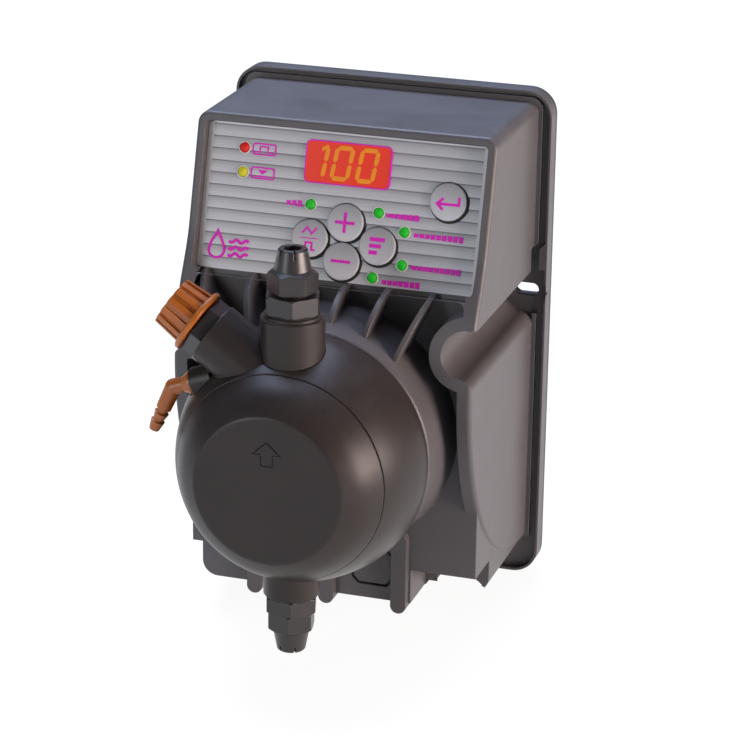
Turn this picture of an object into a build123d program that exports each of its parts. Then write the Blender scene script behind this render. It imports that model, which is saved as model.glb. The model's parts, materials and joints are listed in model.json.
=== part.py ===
from build123d import *
import os
from math import cos, radians, sin, sqrt, tan

os.makedirs("parts", exist_ok=True)

# Frame: the origin is the centre of the wall face, +X is to the right of someone who faces
# the pump, the front looks along -Y and +Z is up. "Depth" is the distance forward from the wall.

# Wall flange and back plate
flange_width = 125.0
flange_height = 194.0
flange_corner = 10.0
flange_depth = 8.0
flange_rim = 1.0
flange_floor = 5.4
foot_step = 1.8
foot_top_step = 1.7
foot_depth = 7.4
back_plate_thickness = 2.4
gasket_thickness = 0.6
gasket_width = 2.4
wall_slot_x = 54.0
wall_slot_z = 19.0
wall_slot_width = 5.0
wall_slot_length = 10.0
plate_screw_r = 1.5
plate_screw_head_r = 2.8
plate_screw_head = 1.4
plate_screw_length = 9.0

# Body of the housing
body_width = 114.0
cheek_step = 1.0
box_top = 92.8
box_bottom = 28.2
wall = 3.0
edge_round = 1.6
top_round = 4.5
lip_depth = 62.6
panel_lean = 15.9
flare_start_z = 54.0
cheek_depth = 89.7
cheek_z = 4.0
cheek_end_depth = 8.0
cheek_end_z = -82.0
recess_depth = 74.0
recess_width = 103.0
block_bottom = -73.0
skirt_bottom = -86.5
skirt_left = -52.0
skirt_right = 31.0
skirt_round = 6.0
bay_depth = 55.0
bay_arch_r = 14.0
bay_arch_x = 43.5
rib_width = 6.0
rib_pitch = 28.5
rib_left = -30.0
rib_count = 3
rib_drop = 3.5
rib_depth = 77.0

# Finger notches beside the wall slots
notch_r = 8.8
notch_x = 53.7
notch_wall = 4.5
notch_round = 4.5
step_x = 59.3
step_z = 36.1
step_groove = 3.3

# Drum that carries the pump head, and the fan of fins above it
head_z = -17.9
drum_root_r = 47.7
drum_front_r = 45.2
drum_depth = 102.0
drum_face = 7.0
coil_bay_r = 36.0
drum_sag = 0.45
fin_tilts = (-29.5, -19.4, -7.5, 3.2, 13.2, 23.2)
fin_centre_z = -52.0
fin_thickness = 1.8
fin_foot_back = 6.5

# Control panel
panel_width = 107.0
panel_height = 53.8
panel_top_depth = 59.7
panel_top_z = 88.7
panel_corner = 2.0
panel_thickness = 1.4
ridge_count = 12
ridge_first = 5.1
panel_margin = 2.0
ridge_height = 0.45
panel_gap = 0.15
window_x = 1.0
window_s = 11.2
window_width = 32.4
window_height = 15.3
button_r = 6.9
button_gap = 0.3
button_rise = 1.2
button_travel = 0.6
button_places = {
    "enter": (39.9, 20.9),
    "plus": (2.2, 32.2),
    "signal": (-10.8, 39.1),
    "function": (15.1, 39.4),
    "minus": (2.0, 46.3),
}
led_r = 1.9
led_foot_r = 2.4
red_led = (-39.0, 8.7)
yellow_led = (-38.9, 17.6)
green_leds = [(-11.7, 26.9), (14.3, 27.4), (24.6, 33.4), (24.8, 45.3), (14.2, 51.0)]
board_gap = 8.0
board_thickness = 1.6
board_width = 104.0
board_height = 49.0
post_r = 2.6
post_inset = 3.2
board_screw_r = 1.1
board_screw_length = 4.5
key_side = 6.0
key_height = 3.5

# Pump head
head_gap = 0.3
head_r = 46.5
head_rear_r = 44.9
head_widest_rise = 5.4
valve_behind = 17.7
valve_before = 13.4
cover_depth = 13.3
head_face_r = 26.0
dome_power = 1.56
split_gap = 0.5
diaphragm_r = 28.5
diaphragm_thickness = 3.0
ring_thickness = 2.0
chamber_r = 20.0
chamber_depth = 3.0
shaft_r = 4.0
running_gap = 0.05
fit_gap = 0.1
head_screw_r = 2.5
head_screw_head_r = 4.2
head_screw_circle_r = 32.5

# Valves above and below the head
tube_r = 3.0
soft_tube_gap = 0.3
tube_stop = 3.0
ball_r = 4.0

# Bleed valve and hose barb on the head's left side
bleed_angle = 34.0
bleed_z = 8.3
barb_lean = 20.0
barb_x = -36.3
barb_z = 9.4

# Sizes that follow from the ones above
cheek_x = body_width / 2
block_x = cheek_x - cheek_step
lean = radians(panel_lean)
panel_bottom_z = panel_top_z - panel_height * cos(lean)
box_floor = box_bottom + wall
ledge = wall
head_back_depth = drum_depth + head_gap
head_widest_depth = head_back_depth + head_widest_rise
valve_depth = head_back_depth + valve_behind
split_depth = valve_depth + valve_before
head_front_depth = split_depth + cover_depth
ring_depth = drum_depth
diaphragm_depth = ring_depth + ring_thickness
chamber_start = diaphragm_depth + diaphragm_thickness
chamber_end = chamber_start + chamber_depth
drum_inside_depth = drum_depth - drum_face


def front(depth):
    """Plane parallel to the wall, seen from the front: x to the right, y up."""
    return Plane(origin=(0, -depth, 0), x_dir=(1, 0, 0), z_dir=(0, -1, 0))


def axial(origin, direction, side):
    """Plane for profiles about an axis: x is the radius, y the distance along it."""
    normal = Vector(*side).cross(Vector(*direction))
    return Plane(origin=origin, x_dir=side, z_dir=normal)


def keep(builder, name):
    """Label a finished piece and write it."""
    builder.part.label = name
    export_step(builder.part, f"parts/{name}.step")


def depth_on_panel(z):
    """Depth of the panel's front plane at height z."""
    return panel_top_depth + (panel_top_z - z) * tan(lean)


panel_plane = Plane(
    origin=(0, -panel_top_depth, panel_top_z),
    x_dir=(1, 0, 0),
    z_dir=(0, -cos(lean), sin(lean)),
)
board_front = panel_plane.offset(-panel_thickness - board_gap)
panel_side = Plane(origin=panel_plane.origin, x_dir=panel_plane.y_dir, z_dir=(1, 0, 0))
head_plane = axial((0, 0, head_z), (0, -1, 0), (1, 0, 0))
head_axis = Axis((0, 0, head_z), (0, -1, 0))
valve_axis = Axis((0, -valve_depth, 0), (0, 0, 1))

# Places on the panel, as local x and y
button_spots = {name: (x, -s) for name, (x, s) in button_places.items()}
green_spots = [(x, -s) for x, s in green_leds]
led_spots = [(red_led[0], -red_led[1]), (yellow_led[0], -yellow_led[1])] + green_spots

# Inner parts that the housing's holes follow
bush_r = 7.0
gland_x = -32.0
socket_places = [-10.0, 12.0, bay_arch_x]
connector_depth = 33.0
gland_thread_r = 6.0
socket_thread_r = 5.5
socket_thread_length = 9.0
bay_ceiling = -70.0
plate_screw_places = [(x, z) for x in (-50.0, 50.0) for z in (85.5, -22.0, -64.0)]
screw_post_r = 4.2
screw_post_depth = 16.0
blank_x = 15.8
blank_z = -73.5
blank_width = 15.2
blank_height = 14.4
blank_corner = 2.4
blank_thickness = 2.0
blank_gap = 0.5
can_r = coil_bay_r - 0.5
can_back_depth = 22.0
can_wall = 3.0
bobbin_r = 14.3
bobbin_wall = 1.7
bobbin_back_depth = 26.0
bobbin_end_depth = drum_inside_depth - 7.0
coil_r = 32.0
armature_r = 14.0
armature_back_depth = 28.0
core_length = 25.0
armature_front_depth = drum_inside_depth - core_length
nose_depth = armature_front_depth + 4.5
spring_r = 7.0
spring_wire = 1.3
spring_pocket_r = 9.5
spring_pocket_depth = nose_depth + 9.5
hub_r = 17.5
hub_front_depth = chamber_start + 1.0
valve_top_z = 38.4
valve_collar_z = 39.6
valve_r = 11.5
valve_foot_z = 14.0
cage_r = 7.1
seat_ring_r = 7.0
seat_hole_r = 3.0
delivery_seat_z = 20.0
seat_height = 3.0
cage_height = 11.0
spigot_r = 8.0
adapter_end_z = 46.6
nut_base_z = 47.6
thread_top_z = 55.0
nut_length = 15.5
suction_top_z = -48.0
suction_r = 10.2
suction_end_z = -67.1
suction_seat_z = -61.0
suction_ceiling_z = -53.2
suction_adapter_z = -73.2
suction_nut_z = -73.6


def blank_outline(grow):
    """Corners of the blanking cover's octagon, grown by a gap."""
    half_x = blank_width / 2 + grow
    half_z = blank_height / 2 + grow
    cut = blank_corner
    corners = [(half_x, half_z - cut), (half_x - cut, half_z)]
    corners += [(-x, z) for x, z in reversed(corners)]
    corners += [(x, -z) for x, z in reversed(corners)]
    return [(blank_x + x, blank_z + z) for x, z in corners]


seal_ring_r = coil_bay_r + 1.2
seal_half_width = cheek_x + 1.0
seal_top = box_top + 0.7
seal_bottom = box_bottom - 3.0


def seal_lines():
    """Both back seals, flat: a frame round the upper space and a ring round the lower one."""
    with BuildSketch() as seals:
        with Locations((0, (seal_top + seal_bottom) / 2)):
            frame_x = 2 * seal_half_width
            frame_z = seal_top - seal_bottom
            RectangleRounded(frame_x, frame_z, 3)
            RectangleRounded(frame_x - 2 * gasket_width, frame_z - 2 * gasket_width, 1, mode=Mode.SUBTRACT)
        with Locations((0, head_z)):
            Circle(seal_ring_r + gasket_width)
            Circle(seal_ring_r, mode=Mode.SUBTRACT)
    return seals.sketch


# Housing: flange, lip and cheeks, block, skirt, drum, fins and ribs in one moulding
flare_mid = (-84.0, 32.2)
slope_end = (-(lip_depth + (box_top - flare_start_z) * tan(lean)), flare_start_z)
drum_waist = ((drum_root_r + drum_front_r) / 2 - drum_sag, (recess_depth + drum_depth - 1) / 2)
fin_tip_depth = recess_depth + 2.0
fin_foot_depth = drum_depth - fin_foot_back
fin_top_z = panel_bottom_z - 0.2
notch_box_side = flange_width / 2 - flange_rim

with BuildPart() as housing_shell:
    with BuildSketch(Plane.YZ):
        with BuildLine():
            top_line = Line((-back_plate_thickness, box_top), (-lip_depth, box_top))
            slope = Line(top_line @ 1, slope_end)
            flare = Spline(
                slope @ 1,
                flare_mid,
                (-cheek_depth, cheek_z),
                tangents=(slope % 1, (0, -1)),
            )
            EllipticalCenterArc(
                (-cheek_end_depth, cheek_z),
                cheek_depth - cheek_end_depth,
                cheek_z - cheek_end_z,
                start_angle=180,
                arc_size=90,
            )
            bottom = Line((-cheek_end_depth, cheek_end_z), (-back_plate_thickness, cheek_end_z))
            Line(bottom @ 1, top_line @ 0)
        make_face()
    extrude(amount=cheek_x, both=True)
    with BuildSketch(front(0)):
        with Locations((0, box_top - flange_height / 2)):
            outline = Rectangle(2 * cheek_x, flange_height)
        fillet(outline.vertices().group_by(Axis.Y)[-1], top_round)
    extrude(amount=2 * cheek_depth, mode=Mode.INTERSECT)
    front_edges = housing_shell.edges().filter_by(lambda edge: edge.center().Y < 0.5 - lip_depth)
    lip_edge = front_edges.filter_by(Axis.X).sort_by(Axis.Z)[-1]
    fillet([lip_edge] + list(front_edges.filter_by(Axis.X, reverse=True)), edge_round)

    block_height = fin_top_z - 3.0 - block_bottom
    with BuildSketch(front(back_plate_thickness)):
        with Locations((0, block_bottom + block_height / 2)):
            Rectangle(2 * block_x, block_height)
    extrude(amount=recess_depth - back_plate_thickness)
    skirt_height = bay_ceiling - skirt_bottom + 2.0
    with BuildSketch(front(back_plate_thickness)):
        with Locations((0, skirt_bottom + skirt_height / 2)):
            skirt_back = Rectangle(2 * block_x, skirt_height)
        fillet(skirt_back.vertices().group_by(Axis.Y)[0], skirt_round)
    extrude(amount=bay_depth - back_plate_thickness)
    with BuildSketch(front(back_plate_thickness)):
        with Locations(((skirt_left + skirt_right) / 2, skirt_bottom + skirt_height / 2)):
            skirt_front = Rectangle(skirt_right - skirt_left, skirt_height)
        fillet(skirt_front.vertices().group_by(Axis.Y)[0].sort_by(Axis.X)[0], skirt_round)
    extrude(amount=recess_depth - back_plate_thickness)

    with BuildSketch(front(back_plate_thickness)):
        RectangleRounded(flange_width, flange_height, flange_corner)
    extrude(amount=flange_floor - back_plate_thickness)
    with BuildSketch(front(flange_floor)):
        RectangleRounded(flange_width, flange_height, flange_corner)
        RectangleRounded(
            flange_width - 2 * flange_rim,
            flange_height - 2 * flange_rim,
            flange_corner - flange_rim,
            mode=Mode.SUBTRACT,
        )
    extrude(amount=flange_depth - flange_floor)

    # Foot of the box in the flange's groove, and the groove's step round each notch
    with BuildSketch(front(flange_floor)):
        with Locations((0, (box_top + foot_top_step + cheek_end_z) / 2)):
            foot_outline = Rectangle(2 * (cheek_x + foot_step), box_top + foot_top_step - cheek_end_z)
        fillet(foot_outline.vertices().group_by(Axis.Y)[-1], top_round)
    extrude(amount=foot_depth - flange_floor)
    for side in (-1, 1):
        with BuildSketch(front(flange_floor)):
            with BuildLine():
                Polyline(
                    (side * step_x, wall_slot_z),
                    (side * step_x, step_z),
                    (side * (flange_width / 2 - flange_rim / 2), step_z + 2.2 + flange_rim / 2),
                    (side * (flange_width / 2 - flange_rim / 2), wall_slot_z),
                    close=True,
                )
            make_face()
        extrude(amount=flange_depth - flange_floor)
        with BuildSketch(front(flange_floor)):
            with BuildLine():
                Polyline(
                    (side * (step_x - step_groove), wall_slot_z),
                    (side * (step_x - step_groove), step_z - 0.4),
                    (side * step_x, step_z + flange_rim + 2),
                    (side * step_x, wall_slot_z),
                    close=True,
                )
            make_face()
        extrude(amount=2 * (flange_depth - flange_floor), mode=Mode.SUBTRACT)

    # Sunk front between the cheeks, and the sloped seat of the panel
    with BuildSketch(front(recess_depth)):
        with Locations((0, (fin_top_z + cheek_end_z) / 2)):
            RectangleRounded(recess_width, fin_top_z - cheek_end_z, 3.0)
        with Locations((-notch_x, wall_slot_z), (notch_x, wall_slot_z)):
            Circle(notch_r + notch_wall, mode=Mode.SUBTRACT)
    extrude(amount=cheek_depth - recess_depth + 5, mode=Mode.SUBTRACT)
    with BuildSketch(panel_plane.offset(-panel_thickness)):
        with Locations((0, -panel_height / 2)):
            RectangleRounded(panel_width + 2 * panel_gap, panel_height + 2 * panel_gap, panel_corner)
    extrude(amount=panel_thickness + 15, mode=Mode.SUBTRACT)
    with BuildSketch(panel_plane.offset(-panel_thickness)):
        with Locations((0, -panel_height)):
            Rectangle(recess_width, 2 * panel_corner)
    extrude(amount=panel_thickness + 15, mode=Mode.SUBTRACT)

    with BuildSketch(head_plane):
        with BuildLine():
            Polyline((0, bay_depth), (drum_root_r, bay_depth), (drum_root_r, recess_depth))
            ThreePointArc((drum_root_r, recess_depth), drum_waist, (drum_front_r, drum_depth - 1))
            Polyline((drum_front_r, drum_depth - 1), (drum_front_r - 1, drum_depth), (0, drum_depth))
            Line((0, drum_depth), (0, bay_depth))
        make_face()
    revolve(axis=head_axis)

    for fin_tilt in fin_tilts:
        tilt = radians(fin_tilt)
        outward = (sin(tilt), 0, cos(tilt))
        foot = drum_front_r - 4 + (head_z - fin_centre_z) * cos(tilt)
        tip = (fin_top_z - fin_centre_z) / cos(tilt)
        with BuildSketch(axial((0, 0, fin_centre_z), (0, -1, 0), outward)):
            with BuildLine():
                Polyline((foot, fin_foot_depth), (foot, bay_depth), (tip, bay_depth), (tip, fin_tip_depth))
                fin_middle = (foot * 0.34 + tip * 0.66, fin_foot_depth * 0.66 + fin_tip_depth * 0.34)
                ThreePointArc((tip, fin_tip_depth), fin_middle, (foot, fin_foot_depth))
            make_face()
        extrude(amount=fin_thickness / 2, both=True)

    rib_top = head_z - drum_root_r + 8
    for index in range(rib_count):
        with BuildSketch(front(bay_depth)):
            with Locations((rib_left + index * rib_pitch, (rib_top + skirt_bottom - rib_drop) / 2)):
                SlotOverall(rib_top - skirt_bottom + rib_drop, rib_width, rotation=90)
        extrude(amount=rib_depth - bay_depth)

    # Finger notches that reach the wall slots
    for side in (-1, 1):
        with BuildSketch(front(flange_floor)):
            with Locations((side * notch_x, wall_slot_z)):
                Circle(notch_r)
            with Locations((side * (notch_x + notch_box_side) / 2, wall_slot_z)):
                Rectangle(notch_box_side - notch_x, 2 * notch_r)
        extrude(amount=cheek_depth, mode=Mode.SUBTRACT)
        with BuildSketch(front(back_plate_thickness)):
            with Locations((side * wall_slot_x, wall_slot_z)):
                SlotOverall(wall_slot_length, wall_slot_width)
        extrude(amount=flange_depth, mode=Mode.SUBTRACT)
    # Rounded shoulder where each notch meets the cheek
    shoulder = (cheek_x - notch_round, wall_slot_z - notch_r - notch_round)
    for side in (-1, 1):
        with BuildSketch(front(flange_floor)):
            with Locations((side * (shoulder[0] + notch_round / 2), shoulder[1] + notch_round / 2)):
                Rectangle(notch_round, notch_round)
            with Locations((side * shoulder[0], shoulder[1])):
                Circle(notch_round, mode=Mode.SUBTRACT)
        extrude(amount=cheek_depth, mode=Mode.SUBTRACT)

    # Electronics space behind the panel, open to the back
    cavity_x = cheek_x - wall
    cavity_top = box_top - wall
    skin = (panel_thickness + ledge) / cos(lean)
    with BuildSketch(Plane.YZ):
        with BuildLine():
            Polyline(
                (-back_plate_thickness, box_floor),
                (-back_plate_thickness, cavity_top),
                (-(depth_on_panel(cavity_top) - skin), cavity_top),
                (-(depth_on_panel(box_floor) - skin), box_floor),
                close=True,
            )
        make_face()
    extrude(amount=cavity_x, both=True, mode=Mode.SUBTRACT)
    for x, z in plate_screw_places:
        if z > box_floor:
            with BuildSketch(front(back_plate_thickness)):
                with Locations((x, z)):
                    Circle(screw_post_r)
            extrude(amount=screw_post_depth)

    # Opening behind the panel for the display, lamps and buttons, with posts for the board
    board_x = board_width / 2 - post_inset
    board_y = board_height / 2 - post_inset
    with BuildSketch(panel_plane.offset(-panel_thickness - ledge - 1)):
        with Locations((0, -panel_height / 2)):
            Rectangle(2 * (board_x - post_r - 1), 2 * (board_y + post_r + 1))
        with Locations(*button_spots.values()):
            Circle(button_r + button_gap)
        with Locations(*led_spots):
            Circle(led_foot_r + 0.3)
    extrude(amount=ledge + 2, mode=Mode.SUBTRACT)
    with BuildSketch(board_front):
        with Locations((0, -panel_height / 2)):
            with GridLocations(2 * board_x, 2 * board_y, 2, 2):
                Circle(post_r)
    extrude(amount=board_gap - 1)
    with BuildSketch(board_front):
        with Locations((0, -panel_height / 2)):
            with GridLocations(2 * board_x, 2 * board_y, 2, 2):
                Circle(board_screw_r)
    extrude(amount=board_screw_length + 0.5, mode=Mode.SUBTRACT)

    # Coil space in the drum, open to the back, with its hole for the bush
    with BuildSketch(front(back_plate_thickness)):
        with Locations((0, head_z)):
            Circle(coil_bay_r)
    extrude(amount=drum_inside_depth - back_plate_thickness, mode=Mode.SUBTRACT)
    with BuildSketch(front(drum_inside_depth)):
        with Locations((0, head_z)):
            Circle(bush_r)
            with PolarLocations(head_screw_circle_r, 4, start_angle=45):
                Circle(head_screw_r)
    extrude(amount=drum_face, mode=Mode.SUBTRACT)

    # Wire way between the two spaces
    with BuildSketch(Plane.XY.offset(head_z + coil_bay_r - 4)):
        with Locations((0, -20)):
            RectangleRounded(18, 12, 4)
    extrude(amount=box_floor - head_z - coil_bay_r + 5, mode=Mode.SUBTRACT)

    # Connector bay under the skirt, with its threaded holes
    with BuildSketch(Plane.XY.offset(skirt_bottom)):
        with Locations(((skirt_left + skirt_right) / 2, -(flange_depth + recess_depth) / 2)):
            RectangleRounded(skirt_right - skirt_left - 2 * wall, recess_depth - flange_depth - 2 * wall, 3)
        with Locations(((skirt_right + block_x) / 2, -(flange_depth + bay_depth) / 2)):
            RectangleRounded(block_x - skirt_right - 2 * wall, bay_depth - flange_depth - 2 * wall, 3)
    extrude(amount=bay_ceiling - skirt_bottom, mode=Mode.SUBTRACT)
    with BuildSketch(front(recess_depth)):
        with Locations((bay_arch_x, skirt_bottom - bay_arch_r / 2)):
            Circle(bay_arch_r)
    extrude(amount=-(recess_depth - bay_depth + wall + 1), mode=Mode.SUBTRACT)
    with BuildSketch(Plane.XY.offset(bay_ceiling)):
        with Locations((gland_x, -connector_depth)):
            Circle(gland_thread_r)
        with Locations(*[(x, -connector_depth) for x in socket_places[:2]]):
            Circle(socket_thread_r)
    extrude(amount=head_z - bay_ceiling - coil_bay_r / 2, mode=Mode.SUBTRACT)
    with BuildSketch(Plane.XY.offset(bay_ceiling)):
        with Locations((socket_places[2], -connector_depth)):
            Circle(socket_thread_r)
    extrude(amount=socket_thread_length + 1, mode=Mode.SUBTRACT)

    # Pocket of the blanking cover, seal grooves and screw holes
    with BuildSketch(front(recess_depth - blank_thickness)):
        with BuildLine():
            Polyline(*blank_outline(blank_gap), close=True)
        make_face()
    extrude(amount=rib_depth - recess_depth + blank_thickness, mode=Mode.SUBTRACT)
    with BuildSketch(front(back_plate_thickness)):
        add(seal_lines())
    extrude(amount=gasket_thickness, mode=Mode.SUBTRACT)
    with BuildSketch(front(back_plate_thickness)):
        with Locations(*plate_screw_places):
            Circle(plate_screw_r)
    extrude(amount=plate_screw_length + 1, mode=Mode.SUBTRACT)
keep(housing_shell, "housing_shell")


def turned(plane, points):
    """Solid turned about a profile plane's y axis from its outline."""
    with BuildPart() as body:
        with BuildSketch(plane):
            with BuildLine():
                Polyline(*points, close=True)
            make_face()
        revolve(axis=Axis(plane.origin, plane.y_dir))
    return body.part


def tube(plane, outer, inner, start, end):
    """Ring about a profile plane's y axis between two distances along it."""
    return turned(plane, [(inner, start), (outer, start), (outer, end), (inner, end)])


# Back plate with the wall slots, its seals and screws
with BuildPart() as back_plate:
    with BuildSketch(front(0)):
        RectangleRounded(flange_width, flange_height, flange_corner)
        with Locations((-wall_slot_x, wall_slot_z), (wall_slot_x, wall_slot_z)):
            SlotOverall(wall_slot_length, wall_slot_width, mode=Mode.SUBTRACT)
        with Locations(*plate_screw_places):
            Circle(plate_screw_r + fit_gap, mode=Mode.SUBTRACT)
    extrude(amount=back_plate_thickness)
    with BuildSketch(front(0)):
        with Locations(*plate_screw_places):
            Circle(plate_screw_head_r + fit_gap)
    extrude(amount=plate_screw_head + 2 * fit_gap, mode=Mode.SUBTRACT)
keep(back_plate, "back_plate")

with BuildPart() as back_seals:
    with BuildSketch(front(back_plate_thickness)):
        add(seal_lines())
    extrude(amount=gasket_thickness)
keep(back_seals, "back_seals")

with BuildPart() as back_plate_screws:
    with BuildSketch(front(2 * fit_gap)):
        with Locations(*plate_screw_places):
            Circle(plate_screw_head_r)
            RegularPolygon(plate_screw_head_r / 2, 6, mode=Mode.SUBTRACT)
    extrude(amount=plate_screw_head / 2)
    with BuildSketch(front(2 * fit_gap + plate_screw_head / 2)):
        with Locations(*plate_screw_places):
            Circle(plate_screw_head_r)
    extrude(amount=plate_screw_head / 2)
    with BuildSketch(front(2 * fit_gap + plate_screw_head)):
        with Locations(*plate_screw_places):
            Circle(plate_screw_r)
    extrude(amount=plate_screw_length)
keep(back_plate_screws, "back_plate_screws")

# Control panel: fascia with lapped ridges, display window and module, board with its keys and lamps
ridge_pitch = (panel_height - ridge_first) / (ridge_count - 1)
with BuildPart() as control_panel:
    with BuildSketch(panel_plane.offset(-panel_thickness)):
        with Locations((0, -panel_height / 2)):
            RectangleRounded(panel_width, panel_height, panel_corner)
        with Locations(*button_spots.values()):
            Circle(button_r + button_gap, mode=Mode.SUBTRACT)
        with Locations(*led_spots):
            Circle(led_r + fit_gap, mode=Mode.SUBTRACT)
        with Locations((window_x, -window_s)):
            RectangleRounded(window_width, window_height, 2, mode=Mode.SUBTRACT)
    extrude(amount=panel_thickness)
    ridge_end = 0.6
    for index in range(ridge_count):
        with BuildSketch(panel_side):
            with BuildLine():
                Polyline(
                    (-ridge_end, 1),
                    (-ridge_end, -ridge_height),
                    (-ridge_first - index * ridge_pitch, 0),
                    (-ridge_first - index * ridge_pitch, 1),
                    close=True,
                )
            make_face()
        extrude(amount=panel_width / 2 - panel_margin, both=True, mode=Mode.SUBTRACT)
        ridge_end = ridge_first + index * ridge_pitch
keep(control_panel, "control_panel")

window_flange = 1.0
window_rise = 0.25
with BuildPart() as display_window:
    with BuildSketch(panel_plane.offset(-panel_thickness - fit_gap)):
        with Locations((window_x, -window_s)):
            RectangleRounded(window_width - 2 * fit_gap, window_height - 2 * fit_gap, 1.9)
    extrude(amount=panel_thickness + fit_gap + window_rise)
    with BuildSketch(panel_plane.offset(-panel_thickness - window_flange)):
        with Locations((window_x, -window_s)):
            RectangleRounded(window_width + 2 * window_flange, window_height + 2 * window_flange, 2)
    extrude(amount=window_flange)
    front_rim = display_window.faces().sort_by(Axis(panel_plane.origin, panel_plane.z_dir))[-1]
    fillet(front_rim.edges(), 0.2)
keep(display_window, "display_window")

module_width = 31.0
module_height = 14.0
with BuildPart() as display_module:
    with BuildSketch(board_front):
        with Locations((window_x, -window_s)):
            Rectangle(module_width, module_height)
    extrude(amount=board_gap - window_flange)
keep(display_module, "display_module")

with BuildPart() as control_board:
    with BuildSketch(board_front):
        with Locations((0, -panel_height / 2)):
            Rectangle(board_width, board_height)
            with GridLocations(2 * board_x, 2 * board_y, 2, 2):
                Circle(board_screw_r + fit_gap, mode=Mode.SUBTRACT)
    extrude(amount=-board_thickness)
keep(control_board, "control_board")

with BuildPart() as board_screws:
    with BuildSketch(board_front.offset(-board_thickness - 1.2)):
        with Locations((0, -panel_height / 2)):
            with GridLocations(2 * board_x, 2 * board_y, 2, 2):
                Circle(2 * board_screw_r)
    extrude(amount=1.2)
    with BuildSketch(board_front.offset(-board_thickness)):
        with Locations((0, -panel_height / 2)):
            with GridLocations(2 * board_x, 2 * board_y, 2, 2):
                Circle(board_screw_r)
    extrude(amount=board_thickness + board_screw_length)
keep(board_screws, "board_screws")

key_tip = key_height + 0.8
with BuildPart() as key_switches:
    with BuildSketch(board_front):
        with Locations(*button_spots.values()):
            RectangleRounded(key_side, key_side, 0.6)
    extrude(amount=key_height)
    with BuildSketch(board_front):
        with Locations(*button_spots.values()):
            Circle(1.7)
    extrude(amount=key_tip)
keep(key_switches, "key_switches")

button_skirt = 2.0
button_stem_r = 1.6


def button(name):
    """Round key cap with a stem that stops short of its switch."""
    with BuildPart() as cap:
        with BuildSketch(panel_plane.offset(-panel_thickness - button_skirt)):
            with Locations(button_spots[name]):
                Circle(button_r)
        extrude(amount=panel_thickness + button_skirt + button_rise)
        rim = cap.faces().sort_by(Axis(panel_plane.origin, panel_plane.z_dir))[-1]
        fillet(rim.edges(), 0.6)
        with BuildSketch(board_front.offset(key_tip + button_travel + fit_gap)):
            with Locations(button_spots[name]):
                Circle(button_stem_r)
        extrude(until=Until.NEXT)
    return cap.part


for name in button_places:
    with BuildPart() as button_cap:
        add(button(name))
    keep(button_cap, f"button_{name}")


def lamp(spot):
    """Round lamp from the board to its dome in the fascia."""
    foot = panel_plane.from_local_coords((spot[0], spot[1], -panel_thickness - board_gap))
    dome_start = board_gap + panel_thickness - 0.2
    with BuildPart() as lens:
        with BuildSketch(axial(foot, panel_plane.z_dir, panel_plane.x_dir)):
            with BuildLine():
                Polyline(
                    (0, 0),
                    (1.6, 0),
                    (1.6, 2.6),
                    (led_foot_r, 2.6),
                    (led_foot_r, 3.4),
                    (led_r, 3.4),
                    (led_r, dome_start),
                )
                TangentArc((0, dome_start + 1.2), (led_r, dome_start), tangent=(1, 0))
                Line((0, dome_start + 1.2), (0, 0))
            make_face()
        revolve(axis=Axis(foot, panel_plane.z_dir))
    return lens.part


for name, spots in (("led_red", led_spots[:1]), ("led_yellow", led_spots[1:2]), ("led_green", green_spots)):
    with BuildPart() as lamps:
        for spot in spots:
            add(lamp(spot))
    keep(lamps, name)

# Blanking cover, cable gland and signal sockets under the body
with BuildPart() as blanking_cover:
    with BuildSketch(front(recess_depth - blank_thickness)):
        with BuildLine():
            Polyline(*blank_outline(0), close=True)
        make_face()
    extrude(amount=blank_thickness - 0.2)
    chamfer(blanking_cover.faces().sort_by(Axis.Y)[0].edges(), 0.5)
keep(blanking_cover, "blanking_cover")

gland_bore_r = 3.5
gland_line = axial((gland_x, -connector_depth, bay_ceiling), (0, 0, -1), (1, 0, 0))
with BuildPart() as cable_gland:
    add(tube(gland_line, gland_thread_r - fit_gap, gland_bore_r, -7, 0))
    with BuildSketch(Plane.XY.offset(bay_ceiling)):
        with Locations((gland_x, -connector_depth)):
            RegularPolygon(8, 6, major_radius=False)
            Circle(gland_bore_r, mode=Mode.SUBTRACT)
    extrude(amount=-4)
    add(
        turned(
            gland_line,
            [(gland_bore_r, 4), (7, 4), (7, 10), (6.2, 12.6), (5, 14), (gland_bore_r, 14)],
        )
    )
keep(cable_gland, "cable_gland")

pin_circle_r = 2.6
with BuildPart() as signal_sockets:
    for x in socket_places:
        line = axial((x, -connector_depth, bay_ceiling), (0, 0, -1), (1, 0, 0))
        add(
            turned(
                line,
                [
                    (0, -socket_thread_length),
                    (socket_thread_r - fit_gap, -socket_thread_length),
                    (socket_thread_r - fit_gap, 0),
                    (7.5, 0),
                    (7.5, 1.5),
                    (6, 1.5),
                    (6, 9.6),
                    (5.6, 10),
                    (5, 10),
                    (5, 3),
                    (0, 3),
                ],
            )
        )
    with BuildSketch(Plane.XY.offset(bay_ceiling - 3)):
        with Locations(*[(x, -connector_depth) for x in socket_places]):
            with PolarLocations(pin_circle_r, 4, start_angle=45):
                Circle(0.5)
    extrude(amount=-5)
keep(signal_sockets, "signal_sockets")

# Solenoid in the drum: can, bobbin, coil, core, plunger, spring and bush
with BuildPart() as solenoid_can:
    add(
        turned(
            head_plane,
            [
                (0, can_back_depth),
                (can_r, can_back_depth),
                (can_r, drum_inside_depth),
                (can_r - can_wall, drum_inside_depth),
                (can_r - can_wall, can_back_depth + can_wall),
                (0, can_back_depth + can_wall),
            ],
        )
    )
keep(solenoid_can, "solenoid_can")

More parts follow.
